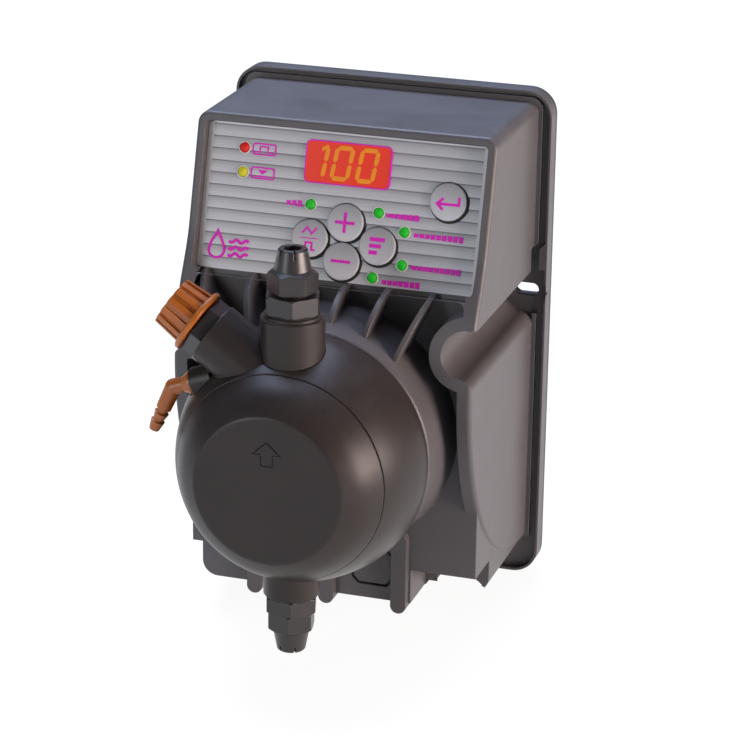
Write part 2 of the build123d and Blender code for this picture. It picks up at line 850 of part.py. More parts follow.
bobbin_outer_r = bobbin_r + bobbin_wall
with BuildPart() as coil_bobbin:
    add(
        turned(
            head_plane,
            [
                (bobbin_r, bobbin_back_depth),
                (coil_r, bobbin_back_depth),
                (coil_r, bobbin_back_depth + bobbin_wall),
                (bobbin_outer_r, bobbin_back_depth + bobbin_wall),
                (bobbin_outer_r, bobbin_end_depth - bobbin_wall),
                (coil_r, bobbin_end_depth - bobbin_wall),
                (coil_r, bobbin_end_depth),
                (bobbin_r, bobbin_end_depth),
            ],
        )
    )
keep(coil_bobbin, "coil_bobbin")

with BuildPart() as coil:
    coil_start = bobbin_back_depth + bobbin_wall
    add(tube(head_plane, coil_r - 1, bobbin_outer_r, coil_start, bobbin_end_depth - bobbin_wall))
keep(coil, "coil")

with BuildPart() as fixed_core:
    add(
        turned(
            head_plane,
            [
                (spring_pocket_r, nose_depth),
                (armature_r, nose_depth),
                (armature_r, bobbin_end_depth),
                (can_r - can_wall - fit_gap, bobbin_end_depth),
                (can_r - can_wall - fit_gap, drum_inside_depth),
                (shaft_r + 0.5, drum_inside_depth),
                (shaft_r + 0.5, spring_pocket_depth),
                (spring_pocket_r, spring_pocket_depth),
            ],
        )
    )
keep(fixed_core, "fixed_core")

with BuildPart() as plunger:
    add(
        turned(
            head_plane,
            [
                (0, armature_back_depth),
                (armature_r, armature_back_depth),
                (armature_r, armature_front_depth),
                (shaft_r, armature_front_depth),
                (shaft_r, diaphragm_depth + 1.2),
                (0, diaphragm_depth + 1.2),
            ],
        )
    )
keep(plunger, "plunger")

spring_room = 0.1
with BuildPart() as return_spring:
    spring_start = armature_front_depth + spring_wire / 2 + spring_room
    spring_length = spring_pocket_depth - armature_front_depth - spring_wire - 2 * spring_room
    spring_foot = (0, -spring_start, head_z)
    with BuildLine():
        coil_path = Helix(spring_length / 4, spring_length, spring_r, spring_foot, (0, -1, 0))
    with BuildSketch(Plane(origin=coil_path @ 0, z_dir=coil_path % 0)):
        Circle(spring_wire / 2)
    sweep(path=coil_path)
keep(return_spring, "return_spring")

with BuildPart() as shaft_bush:
    add(tube(head_plane, bush_r, shaft_r + running_gap, drum_inside_depth, drum_depth))
keep(shaft_bush, "shaft_bush")

# Diaphragm, backing ring and pump head
ring_inner_r = 22.0
with BuildPart() as backing_ring:
    add(tube(head_plane, diaphragm_r, ring_inner_r, ring_depth, diaphragm_depth))
keep(backing_ring, "backing_ring")

with BuildPart() as diaphragm:
    with BuildSketch(head_plane):
        with BuildLine():
            Polyline(
                (hub_r + 0.3, diaphragm_depth + 1),
                (ring_inner_r, diaphragm_depth),
                (diaphragm_r, diaphragm_depth),
                (diaphragm_r, chamber_start),
                (chamber_r + 1.5, chamber_start),
            )
            ThreePointArc(
                (chamber_r + 1.5, chamber_start),
                (chamber_r, chamber_start - 0.9),
                (hub_r + 0.3, chamber_start - 0.4),
            )
            Line((hub_r + 0.3, chamber_start - 0.4), (hub_r + 0.3, diaphragm_depth + 1))
        make_face()
    revolve(axis=head_axis)
keep(diaphragm, "diaphragm")

with BuildPart() as diaphragm_hub:
    add(
        turned(
            head_plane,
            [
                (shaft_r + running_gap / 5, diaphragm_depth),
                (hub_r - 3, diaphragm_depth),
                (hub_r, diaphragm_depth + 1),
                (hub_r, chamber_start - 0.4),
                (9, hub_front_depth),
                (0, hub_front_depth),
                (0, diaphragm_depth + 1.2),
                (shaft_r + running_gap / 5, diaphragm_depth + 1.2),
            ],
        )
    )
keep(diaphragm_hub, "diaphragm_hub")


def dome_point(angle):
    """Radius and depth on the dome's outline, from its widest place at 0 to its face at 90 degrees."""
    power = 2 / dome_power
    radius = head_face_r + (head_r - head_face_r) * cos(radians(angle)) ** power
    depth = head_widest_depth + (head_front_depth - head_widest_depth) * sin(radians(angle)) ** power
    return (radius, depth)


def dome():
    """Whole solid dome of the pump head, turned about its axis."""
    with BuildPart() as blank:
        with BuildSketch(head_plane):
            with BuildLine():
                Polyline((0, head_front_depth), (0, head_back_depth), (head_rear_r, head_back_depth))
                ThreePointArc(
                    (head_rear_r, head_back_depth),
                    (head_rear_r * 0.3 + head_r * 0.7, head_back_depth * 0.5 + head_widest_depth * 0.5),
                    (head_r, head_widest_depth),
                )
                Spline(
                    *[dome_point(angle) for angle in (0, 20, 35, 50, 65, 80)],
                    (head_face_r, head_front_depth),
                    tangents=((0, 1), (-1, 0)),
                )
                Line((head_face_r, head_front_depth), (0, head_front_depth))
            make_face()
        revolve(axis=head_axis)
    return blank.part


def rod(plane, radius, start, end):
    """Round rod along a plane's normal between two distances from it."""
    with BuildPart() as body:
        with BuildSketch(plane.offset(start)):
            Circle(radius)
        extrude(amount=end - start)
    return body.part


bleed_turn = radians(bleed_angle)
bleed_way = (-cos(bleed_turn), 0, sin(bleed_turn))
bleed_across = Plane(origin=(0, -valve_depth, bleed_z), x_dir=(0, 1, 0), z_dir=bleed_way)
bleed_line = axial(bleed_across.origin, bleed_way, (0, 1, 0))
bleed_boss_r = 11.5
barb_boss_r = 5.2
barb_collar_r = 4.3
bleed_boss_end = 36.3
barb_turn = radians(barb_lean)
barb_way = (-cos(barb_turn), 0, -sin(barb_turn))
barb_across = Plane(origin=(barb_x, -valve_depth, barb_z), x_dir=(0, 1, 0), z_dir=barb_way)
barb_line = axial(barb_across.origin, barb_way, (0, 1, 0))
upright = Plane(origin=(0, -valve_depth, 0), x_dir=(1, 0, 0), z_dir=(0, 0, 1))
upright_line = axial((0, -valve_depth, 0), (0, 0, 1), (1, 0, 0))
head_across = Plane(origin=(0, 0, head_z), x_dir=(1, 0, 0), z_dir=(0, -1, 0))
passage_r = 2.5
bleed_passage_r = 1.2
spigot_ring_r = 20.0
spigot_ring_inner_r = 17.8
spigot_ring_rise = 3.2
screw_seat_depth = split_depth - 5.9
screw_head_height = 5.0
cover_pocket_r = 35.5
cover_pocket_depth = 3.6

with BuildPart() as pump_head:
    add(dome())
    split(bisect_by=front(split_depth - split_gap / 2), keep=Keep.BOTTOM)
    add(rod(bleed_across, bleed_boss_r, 8, bleed_boss_end))
    add(rod(head_across, diaphragm_r + fit_gap, head_back_depth, chamber_start), mode=Mode.SUBTRACT)
    add(rod(head_across, chamber_r, chamber_start, chamber_end), mode=Mode.SUBTRACT)
    add(rod(head_across, 4, chamber_end, valve_depth), mode=Mode.SUBTRACT)
    add(rod(upright, passage_r, suction_top_z, valve_foot_z), mode=Mode.SUBTRACT)
    add(rod(upright, valve_r + fit_gap, valve_foot_z, valve_top_z), mode=Mode.SUBTRACT)
    add(rod(upright, suction_r + fit_gap, suction_end_z, suction_top_z), mode=Mode.SUBTRACT)
    add(rod(bleed_across, 6.1, 24, bleed_boss_end), mode=Mode.SUBTRACT)
    add(rod(bleed_across, bleed_passage_r, 16, 24), mode=Mode.SUBTRACT)
    add(rod(barb_across, barb_boss_r, -8, 0.5))
    add(rod(barb_across, barb_collar_r + 0.4, 0.5, 9), mode=Mode.SUBTRACT)
    add(rod(barb_across, 2.6, -8, 4), mode=Mode.SUBTRACT)
    add(rod(barb_across, 1.3, -12, -8), mode=Mode.SUBTRACT)
    with BuildSketch(front(split_depth)):
        with Locations((0, head_z)):
            with PolarLocations(head_screw_circle_r, 4, start_angle=45):
                Circle(head_screw_head_r + 0.3)
    extrude(amount=screw_seat_depth - split_depth, mode=Mode.SUBTRACT)
    with BuildSketch(front(head_back_depth)):
        with Locations((0, head_z)):
            with PolarLocations(head_screw_circle_r, 4, start_angle=45):
                Circle(head_screw_r + fit_gap)
    extrude(amount=split_depth - head_back_depth, mode=Mode.SUBTRACT)
    groove_start = split_depth - spigot_ring_rise - 2 * fit_gap
    groove = tube(head_plane, spigot_ring_r + fit_gap, spigot_ring_inner_r - fit_gap, groove_start, split_depth)
    add(groove, mode=Mode.SUBTRACT)
keep(pump_head, "pump_head")

arrow_depth = 0.5
arrow_line = 0.5
arrow_half = 5.6
arrow_stem = 2.4
arrow_tip_z = 1.0
arrow_neck_z = -4.2
arrow_foot_z = -8.5
with BuildPart() as head_cover:
    add(dome())
    split(bisect_by=front(split_depth + split_gap / 2), keep=Keep.TOP)
    pocket_end = split_depth + cover_pocket_depth
    add(rod(head_across, cover_pocket_r, split_depth, pocket_end), mode=Mode.SUBTRACT)
    add(tube(head_plane, spigot_ring_r, spigot_ring_inner_r, split_depth - spigot_ring_rise, pocket_end + 1))
    with BuildSketch(front(head_front_depth - arrow_depth)):
        with BuildLine():
            Polyline(
                (0, arrow_tip_z),
                (arrow_half, arrow_neck_z),
                (arrow_stem, arrow_neck_z),
                (arrow_stem, arrow_foot_z),
                (-arrow_stem, arrow_foot_z),
                (-arrow_stem, arrow_neck_z),
                (-arrow_half, arrow_neck_z),
                close=True,
            )
        make_face()
        offset(amount=-arrow_line, mode=Mode.SUBTRACT)
    extrude(amount=arrow_depth + 1, mode=Mode.SUBTRACT)
keep(head_cover, "head_cover")

with BuildPart() as head_screws:
    with BuildSketch(front(screw_seat_depth)):
        with Locations((0, head_z)):
            with PolarLocations(head_screw_circle_r, 4, start_angle=45):
                Circle(head_screw_head_r)
    extrude(amount=screw_head_height)
    with BuildSketch(front(screw_seat_depth + screw_head_height)):
        with Locations((0, head_z)):
            with PolarLocations(head_screw_circle_r, 4, start_angle=45):
                RegularPolygon(2, 6, major_radius=False)
    extrude(amount=-2.5, mode=Mode.SUBTRACT)
    with BuildSketch(front(drum_inside_depth + 0.5)):
        with Locations((0, head_z)):
            with PolarLocations(head_screw_circle_r, 4, start_angle=45):
                Circle(head_screw_r)
    extrude(amount=screw_seat_depth - drum_inside_depth)
keep(head_screws, "head_screws")

# Delivery valve on top of the head: body, seat, ball, adapter, seal, nut and ferrule
adapter_turn = -12.8
nut_turn = 19.0
adapter_hex_r = 9.15
suction_hex_r = 8.8
nut_hex_r = 7.8
nut_hex_height = 8.0
nut_cone_r = 6.6
nut_end_r = 5.2
nut_groove_turn = 56.7


def shifted(plane, height):
    """Profile plane moved along its own y axis."""
    moved = plane.from_local_coords((0, height, 0))
    return Plane(origin=moved, x_dir=plane.x_dir, z_dir=plane.z_dir)


def tube_nut(line, bore_r):
    """Clamping nut: hexagonal foot, ribbed cone and notched end, bored for the tube."""
    outward = Plane(origin=line.origin, x_dir=line.x_dir, z_dir=line.y_dir)
    with BuildPart() as nut:
        with BuildSketch(outward):
            RegularPolygon(nut_hex_r, 6, major_radius=False, rotation=nut_turn)
        extrude(amount=nut_hex_height)
        with BuildSketch(line):
            with BuildLine():
                corner_r = nut_hex_r / cos(radians(30)) + 0.1
                Polyline(
                    (0, 0),
                    (corner_r - 0.6, 0),
                    (corner_r, 0.6),
                    (corner_r, nut_hex_height - 1.8),
                    (nut_cone_r, nut_hex_height),
                    (0, nut_hex_height),
                    close=True,
                )
            make_face()
        revolve(axis=Axis(line.origin, line.y_dir), mode=Mode.INTERSECT)
        cone = [
            (0, nut_hex_height - 1),
            (nut_cone_r, nut_hex_height - 1),
            (nut_cone_r, nut_hex_height),
            (nut_end_r, nut_length - 0.4),
            (nut_end_r - 0.4, nut_length),
            (0, nut_length),
        ]
        add(turned(line, cone))
        with BuildSketch(outward.offset(nut_length)):
            with PolarLocations(nut_end_r, 6, start_angle=nut_groove_turn):
                Rectangle(0.8, 0.7)
        extrude(amount=nut_hex_height + 0.4 - nut_length, mode=Mode.SUBTRACT)
        with BuildSketch(outward.offset(nut_length - 1)):
            with PolarLocations(0, 3, start_angle=nut_groove_turn):
                Rectangle(12, 0.7)
            Circle(tube_r + 0.6, mode=Mode.SUBTRACT)
        extrude(amount=1, mode=Mode.SUBTRACT)
        add(rod(outward, thread_r + nut_fit, 0, nut_shoulder), mode=Mode.SUBTRACT)
        add(rod(outward, bore_r, nut_shoulder, nut_length), mode=Mode.SUBTRACT)
    return nut.part


thread_r = 5.2
nut_fit = 0.08
clamp_r = 4.9
delivery_bore_r = tube_r + fit_gap
suction_bore_r = tube_r + soft_tube_gap
nut_shoulder = 11.2
thread_above_base = thread_top_z - nut_base_z
delivery_nut_line = shifted(upright_line, nut_base_z)
downward_line = axial((0, -valve_depth, 0), (0, 0, -1), (1, 0, 0))
suction_nut_line = shifted(downward_line, -suction_nut_z)


def ferrule(line, bore_r):
    """Clamping ring that sits between the threaded end and the nut's shoulder."""
    start = thread_above_base + 0.3
    end = nut_shoulder - 0.3
    profile = [
        (bore_r, start),
        (clamp_r - 1.0, start),
        (clamp_r, start + 1.0),
        (clamp_r, end),
        (bore_r, end),
    ]
    return turned(line, profile)


adapter_seat_z = valve_collar_z + 0.4
collar_r = 10.4
spigot_foot_z = delivery_seat_z + cage_height
with BuildPart() as delivery_valve_body:
    add(
        turned(
            upright_line,
            [
                (passage_r, valve_foot_z),
                (valve_r, valve_foot_z),
                (valve_r, valve_top_z - 0.5),
                (valve_r - 0.5, valve_top_z),
                (collar_r, valve_top_z),
                (collar_r, valve_collar_z - 0.3),
                (collar_r - 0.3, valve_collar_z),
                (spigot_r + running_gap, valve_collar_z),
                (spigot_r + running_gap, spigot_foot_z),
                (cage_r, spigot_foot_z),
                (cage_r, delivery_seat_z),
                (passage_r, delivery_seat_z),
            ],
        )
    )
keep(delivery_valve_body, "delivery_valve_body")


def seat(line):
    """Valve seat with the ribbed cage that guides its ball."""
    cage_top = cage_height - 0.1
    with BuildPart() as ring:
        add(
            turned(
                line,
                [
                    (seat_hole_r, 0),
                    (seat_ring_r, 0),
                    (seat_ring_r, cage_top),
                    (cage_inner_r, cage_top),
                    (cage_inner_r, seat_height),
                    (seat_hole_r, seat_height),
                ],
            )
        )
        with BuildSketch(Plane(origin=line.from_local_coords((0, seat_height, 0)), z_dir=line.y_dir)):
            with PolarLocations(cage_inner_r, 4):
                Circle(1.1)
            Circle(seat_hole_r, mode=Mode.SUBTRACT)
        extrude(amount=cage_top - seat_height, mode=Mode.SUBTRACT)
    return ring.part


cage_inner_r = 4.5
ball_rise = sqrt(ball_r * ball_r - seat_hole_r * seat_hole_r) + 0.05
with BuildPart() as delivery_seat:
    add(seat(shifted(upright_line, delivery_seat_z)))
keep(delivery_seat, "delivery_seat")

with BuildPart() as delivery_ball:
    ball_centre_z = delivery_seat_z + seat_height + ball_rise
    with Locations((0, -valve_depth, ball_centre_z)):
        Sphere(ball_r)
keep(delivery_ball, "delivery_ball")

with BuildPart() as delivery_adapter:
    with BuildSketch(upright.offset(adapter_seat_z)):
        RegularPolygon(adapter_hex_r, 6, major_radius=False, rotation=adapter_turn)
    extrude(amount=adapter_end_z - adapter_seat_z)
    with BuildSketch(upright_line):
        with BuildLine():
            Polyline(
                (0, adapter_seat_z),
                (collar_r - 0.6, adapter_seat_z),
                (collar_r, adapter_seat_z + 0.5),
                (collar_r, adapter_end_z - 0.5),
                (collar_r - 0.6, adapter_end_z),
                (0, adapter_end_z),
                close=True,
            )
        make_face()
    revolve(axis=valve_axis, mode=Mode.INTERSECT)
    add(rod(upright, spigot_r, spigot_foot_z, adapter_seat_z))
    add(rod(upright, thread_r, adapter_end_z, thread_top_z))
    add(rod(upright, passage_r, spigot_foot_z, thread_top_z), mode=Mode.SUBTRACT)
    add(rod(upright, delivery_bore_r, adapter_end_z - tube_stop, thread_top_z), mode=Mode.SUBTRACT)
keep(delivery_adapter, "delivery_adapter")

with BuildPart() as delivery_seal:
    add(tube(upright_line, collar_r - 0.8, spigot_r + fit_gap, valve_collar_z, adapter_seat_z))
keep(delivery_seal, "delivery_seal")

with BuildPart() as delivery_tube_nut:
    add(tube_nut(delivery_nut_line, delivery_bore_r))
keep(delivery_tube_nut, "delivery_tube_nut")

with BuildPart() as delivery_ferrule:
    add(ferrule(delivery_nut_line, delivery_bore_r))
keep(delivery_ferrule, "delivery_ferrule")

# Suction valve below the head
suction_spigot_top = suction_seat_z - seat_height
suction_seat_line = shifted(upright_line, suction_spigot_top)
with BuildPart() as suction_valve_body:
    add(
        turned(
            upright_line,
            [
                (passage_r, suction_top_z),
                (suction_r, suction_top_z),
                (suction_r, suction_end_z + 0.5),
                (suction_r - 0.5, suction_end_z),
                (spigot_r + running_gap, suction_end_z),
                (spigot_r + running_gap, suction_spigot_top),
                (cage_r, suction_spigot_top),
                (cage_r, suction_ceiling_z),
                (passage_r, suction_ceiling_z),
            ],
        )
    )
keep(suction_valve_body, "suction_valve_body")

with BuildPart() as suction_seat:
    add(seat(suction_seat_line))
    split(bisect_by=upright.offset(suction_ceiling_z - 0.1), keep=Keep.BOTTOM)
keep(suction_seat, "suction_seat")

with BuildPart() as suction_ball:
    with Locations((0, -valve_depth, suction_seat_z + ball_rise)):
        Sphere(ball_r)
keep(suction_ball, "suction_ball")

suction_flange_z = suction_end_z - 0.4
suction_thread_z = suction_nut_z - thread_above_base
with BuildPart() as suction_adapter:
    with BuildSketch(upright.offset(suction_adapter_z)):
        RegularPolygon(suction_hex_r, 6, major_radius=False, rotation=adapter_turn)
    extrude(amount=suction_flange_z - suction_adapter_z)
    with BuildSketch(upright_line):
        with BuildLine():
            Polyline(
                (0, suction_flange_z),
                (9.4, suction_flange_z),
                (10.2, suction_flange_z - 0.5),
                (10.2, suction_adapter_z + 0.5),
                (9.4, suction_adapter_z),
                (0, suction_adapter_z),
                close=True,
            )
        make_face()
    revolve(axis=valve_axis, mode=Mode.INTERSECT)
    add(rod(upright, spigot_r, suction_flange_z, suction_spigot_top))
    add(rod(upright, thread_r, suction_thread_z, suction_adapter_z))
    add(rod(upright, passage_r, suction_thread_z, suction_spigot_top), mode=Mode.SUBTRACT)
    add(rod(upright, suction_bore_r, suction_thread_z, suction_adapter_z + tube_stop), mode=Mode.SUBTRACT)
keep(suction_adapter, "suction_adapter")

with BuildPart() as suction_seal:
    add(tube(upright_line, 9.6, spigot_r + fit_gap, suction_flange_z, suction_end_z))
keep(suction_seal, "suction_seal")

with BuildPart() as suction_tube_nut:
    add(tube_nut(suction_nut_line, suction_bore_r))
keep(suction_tube_nut, "suction_tube_nut")

with BuildPart() as suction_ferrule:
    add(ferrule(suction_nut_line, suction_bore_r))
keep(suction_ferrule, "suction_ferrule")

# Bleed valve on its boss, with its stem and ribbed knob, and the hose barb elbow
bleed_hex_end = 41.2
bleed_tube_end = 48.0
bleed_foot = 24.5
stem_gap = 0.05
stem_r = 2.45
with BuildPart() as bleed_valve_body:
    add(rod(bleed_across, 6.0, bleed_foot, bleed_boss_end))
    with BuildSketch(bleed_across.offset(bleed_boss_end)):
        RegularPolygon(9.5, 6, major_radius=False)
    extrude(amount=bleed_hex_end - bleed_boss_end)
    add(rod(bleed_across, 5.0, bleed_hex_end, bleed_tube_end))
    add(rod(bleed_across, stem_r + stem_gap, 28.0, bleed_tube_end), mode=Mode.SUBTRACT)
    add(rod(bleed_across, bleed_passage_r, bleed_foot, 28.0), mode=Mode.SUBTRACT)
keep(bleed_valve_body, "bleed_valve_body")

with BuildPart() as bleed_stem:
    add(
        turned(
            bleed_line,
            [(0, 28.6), (0.9, 28.6), (stem_r, 30.4), (stem_r, 52.0), (0, 52.0)],
        )
    )
keep(bleed_stem, "bleed_stem")

knob_start = 41.9
knob_flange_end = 44.0
knob_end = 54.5
knob_flange_r = 12.1
knob_root_r = 10.5
knob_tip_r = 9.4
knob_rib_height = 0.9
knob_rib_count = 14


def knob_cone(shrink):
    """Tapered plug of the knob's grip, thinner by a shrink."""
    profile = [
        (0, knob_start),
        (knob_root_r - shrink, knob_start),
        (knob_tip_r - shrink, knob_end),
        (0, knob_end),
    ]
    return turned(bleed_line, profile)


with BuildPart() as bleed_knob:
    with BuildSketch(bleed_across.offset(knob_start)):
        with PolarLocations(knob_root_r - 1, knob_rib_count):
            RectangleRounded(4, 2.4, 0.6)
    extrude(amount=knob_end - knob_start)
    add(knob_cone(0), mode=Mode.INTERSECT)
    add(knob_cone(knob_rib_height))
    add(
        turned(
            bleed_line,
            [
                (0, knob_start),
                (knob_flange_r - 0.5, knob_start),
                (knob_flange_r, knob_start + 0.5),
                (knob_flange_r, knob_flange_end - 0.6),
                (knob_flange_r - 0.6, knob_flange_end),
                (0, knob_flange_end),
            ],
        )
    )
    add(rod(bleed_across, 5.3, knob_start, bleed_tube_end + 0.9), mode=Mode.SUBTRACT)
    add(rod(bleed_across, stem_r + stem_gap, bleed_tube_end, 52.3), mode=Mode.SUBTRACT)
keep(bleed_knob, "bleed_knob")

barb_corner_run = 9.2
barb_leg_length = 18.6
elbow_r = 3.1
neck_r = 2.0
barb_down = radians(65.7)
barb_leg_way = (-cos(barb_down), 0, -sin(barb_down))
barb_bore_r = 1.3
corner = barb_across.from_local_coords((0, 0, barb_corner_run))
leg_line = axial(corner, barb_leg_way, (0, 1, 0))
leg_across = Plane(origin=corner, x_dir=(0, 1, 0), z_dir=barb_leg_way)
with BuildPart() as hose_barb_elbow:
    add(
        turned(
            barb_line,
            [
                (0, -7.8),
                (2.55, -7.8),
                (2.55, 0.8),
                (barb_collar_r, 0.8),
                (barb_collar_r, 1.8),
                (elbow_r - 0.2, 4.6),
                (elbow_r, barb_corner_run),
                (0, barb_corner_run),
            ],
        )
    )
    with Locations(corner):
        Sphere(elbow_r)
    add(
        turned(
            leg_line,
            [
                (0, 0),
                (elbow_r, 0),
                (elbow_r - 0.3, 9.2),
                (neck_r, 9.6),
                (neck_r, 11.0),
                (neck_r + 0.7, 11.2),
                (neck_r, 14.0),
                (neck_r, 14.6),
                (neck_r + 0.6, 14.8),
                (neck_r - 0.1, barb_leg_length),
                (0, barb_leg_length),
            ],
        )
    )
    add(rod(barb_across, barb_bore_r, -7.8, barb_corner_run), mode=Mode.SUBTRACT)
    add(rod(leg_across, barb_bore_r, 0, barb_leg_length), mode=Mode.SUBTRACT)
keep(hose_barb_elbow, "hose_barb_elbow")
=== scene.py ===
import json
from math import cos, pi, radians, sin

import bpy
import numpy as np
from mathutils import Matrix, Vector


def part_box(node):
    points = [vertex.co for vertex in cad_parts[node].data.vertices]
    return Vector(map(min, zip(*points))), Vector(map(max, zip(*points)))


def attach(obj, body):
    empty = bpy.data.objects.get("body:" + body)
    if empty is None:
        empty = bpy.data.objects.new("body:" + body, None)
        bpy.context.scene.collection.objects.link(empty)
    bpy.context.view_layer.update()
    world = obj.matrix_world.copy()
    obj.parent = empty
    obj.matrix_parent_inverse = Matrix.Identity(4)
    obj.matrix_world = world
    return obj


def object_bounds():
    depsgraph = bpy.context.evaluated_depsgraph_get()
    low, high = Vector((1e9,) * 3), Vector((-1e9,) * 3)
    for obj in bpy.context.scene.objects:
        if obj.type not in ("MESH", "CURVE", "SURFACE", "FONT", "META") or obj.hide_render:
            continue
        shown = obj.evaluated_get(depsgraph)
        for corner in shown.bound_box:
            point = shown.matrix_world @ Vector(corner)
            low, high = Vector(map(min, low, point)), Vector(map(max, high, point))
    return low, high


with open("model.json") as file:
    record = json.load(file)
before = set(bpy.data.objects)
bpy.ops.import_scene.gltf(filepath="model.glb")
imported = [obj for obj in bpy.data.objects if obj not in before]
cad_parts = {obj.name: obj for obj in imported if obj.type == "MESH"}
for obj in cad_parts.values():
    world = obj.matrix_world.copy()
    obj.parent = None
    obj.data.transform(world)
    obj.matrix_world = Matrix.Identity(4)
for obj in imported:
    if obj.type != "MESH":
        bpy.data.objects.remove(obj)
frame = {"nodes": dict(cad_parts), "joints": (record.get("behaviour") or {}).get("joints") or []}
cad_low, cad_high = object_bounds()
nodes = frame["nodes"]
joints = {joint["name"]: joint for joint in frame["joints"]}
mm = 0.001

# Camera: the photograph's viewing angle, as turns about the vertical, up and about the line of sight
CAMERA_TURN = radians(17.588)
CAMERA_RISE = radians(19.913)
CAMERA_ROLL = radians(0.825)
CAMERA_PLACE = Vector((0.31898, -1.0302, 0.3660))
CAMERA_FOCAL_PIXELS = 2918.0
IMAGE_PIXELS = 750.0
SENSOR_MM = 36.0


def photo_camera():
    """Camera with its axes worked out from the three angles: right, up and back."""
    back = Vector(
        (
            sin(CAMERA_TURN) * cos(CAMERA_RISE),
            -cos(CAMERA_TURN) * cos(CAMERA_RISE),
            sin(CAMERA_RISE),
        )
    )
    right = Vector((cos(CAMERA_TURN), sin(CAMERA_TURN), 0))
    up = back.cross(right)
    rolled_right = right * cos(CAMERA_ROLL) + up * sin(CAMERA_ROLL)
    rolled_up = up * cos(CAMERA_ROLL) - right * sin(CAMERA_ROLL)
    data = bpy.data.cameras.new("photo_camera")
    data.lens = CAMERA_FOCAL_PIXELS * SENSOR_MM / IMAGE_PIXELS
    data.sensor_width = SENSOR_MM
    data.clip_start = 0.05
    data.clip_end = 50
    camera = bpy.data.objects.new("photo_camera", data)
    axes = Matrix((rolled_right, rolled_up, back)).transposed().to_4x4()
    camera.matrix_world = Matrix.Translation(CAMERA_PLACE) @ axes
    bpy.context.scene.collection.objects.link(camera)
    bpy.context.scene.camera = camera


photo_camera()
bpy.context.scene.view_settings.view_transform = "Standard"


# The panel's own axes, from the key's travel and the fascia's mesh
panel_normal = -np.array(joints["enter_press"]["axis"])
panel_right = np.array((1.0, 0.0, 0.0))
panel_up = np.cross(panel_normal, panel_right)
fascia = np.array([v.co for v in nodes["control_panel"].data.vertices])
panel_face = (fascia @ panel_normal).max()
panel_top = (fascia @ panel_up).max()

RIDGE_FIRST = 5.1
RIDGE_COUNT = 12
panel_height = (panel_top - (fascia @ panel_up).min()) / mm
ridge_pitch = (panel_height - RIDGE_FIRST) / (RIDGE_COUNT - 1)
PANEL_MARGIN = 2.0
panel_half = (fascia @ panel_right).max() / mm


# Colour helpers and shader wiring
def linear(red, green, blue):
    """Colour of a surface from its look on screen, 0 to 255 a channel."""
    channels = [value / 255 for value in (red, green, blue)]
    return [(c / 12.92 if c <= 0.04045 else ((c + 0.055) / 1.055) ** 2.4) for c in channels] + [1.0]


def add_node(tree, kind, settings=None, links=None):
    """A shader node with its settings, and values or links on its named inputs."""
    node = tree.nodes.new(kind)
    for key, value in (settings or {}).items():
        setattr(node, key, value)
    for key, value in (links or {}).items():
        if isinstance(value, bpy.types.NodeSocket):
            tree.links.new(value, node.inputs[key])
        else:
            node.inputs[key].default_value = value
    return node


def maths(tree, operation, *values):
    """Output of a maths node on two or three values or links."""
    node = add_node(tree, "ShaderNodeMath", {"operation": operation}, dict(enumerate(values)))
    return node.outputs[0]


def stretched(tree, value, old_low, old_high, new_low, new_high):
    """A value's range moved to a new range, and held inside it."""
    ends = {"From Min": old_low, "From Max": old_high, "To Min": new_low, "To Max": new_high}
    return add_node(tree, "ShaderNodeMapRange", links={"Value": value, **ends}).outputs["Result"]


def mixed(tree, factor, first, second):
    """Colour between two colours."""
    return add_node(
        tree, "ShaderNodeMix", {"data_type": "RGBA"}, {"Factor": factor, 6: first, 7: second}
    ).outputs[2]


def noise(tree, place, scale, detail, roughness=0.5):
    """Noise between 0 and 1 over a place."""
    settings = {"Vector": place, "Scale": scale, "Detail": detail, "Roughness": roughness}
    return add_node(tree, "ShaderNodeTexNoise", links=settings).outputs["Fac"]


def own_place(tree):
    """Place in the object's own coordinates."""
    return add_node(tree, "ShaderNodeTexCoord").outputs["Object"]


def new_group(name, inputs, outputs):
    """Empty shader group with named sockets; returns it with its input and output nodes."""
    group = bpy.data.node_groups.new(name, "ShaderNodeTree")
    for socket_name, kind, value in inputs:
        socket = group.interface.new_socket(socket_name, in_out="INPUT", socket_type=kind)
        socket.default_value = value
    for socket_name, kind in outputs:
        group.interface.new_socket(socket_name, in_out="OUTPUT", socket_type=kind)
    return group, group.nodes.new("NodeGroupInput"), group.nodes.new("NodeGroupOutput")


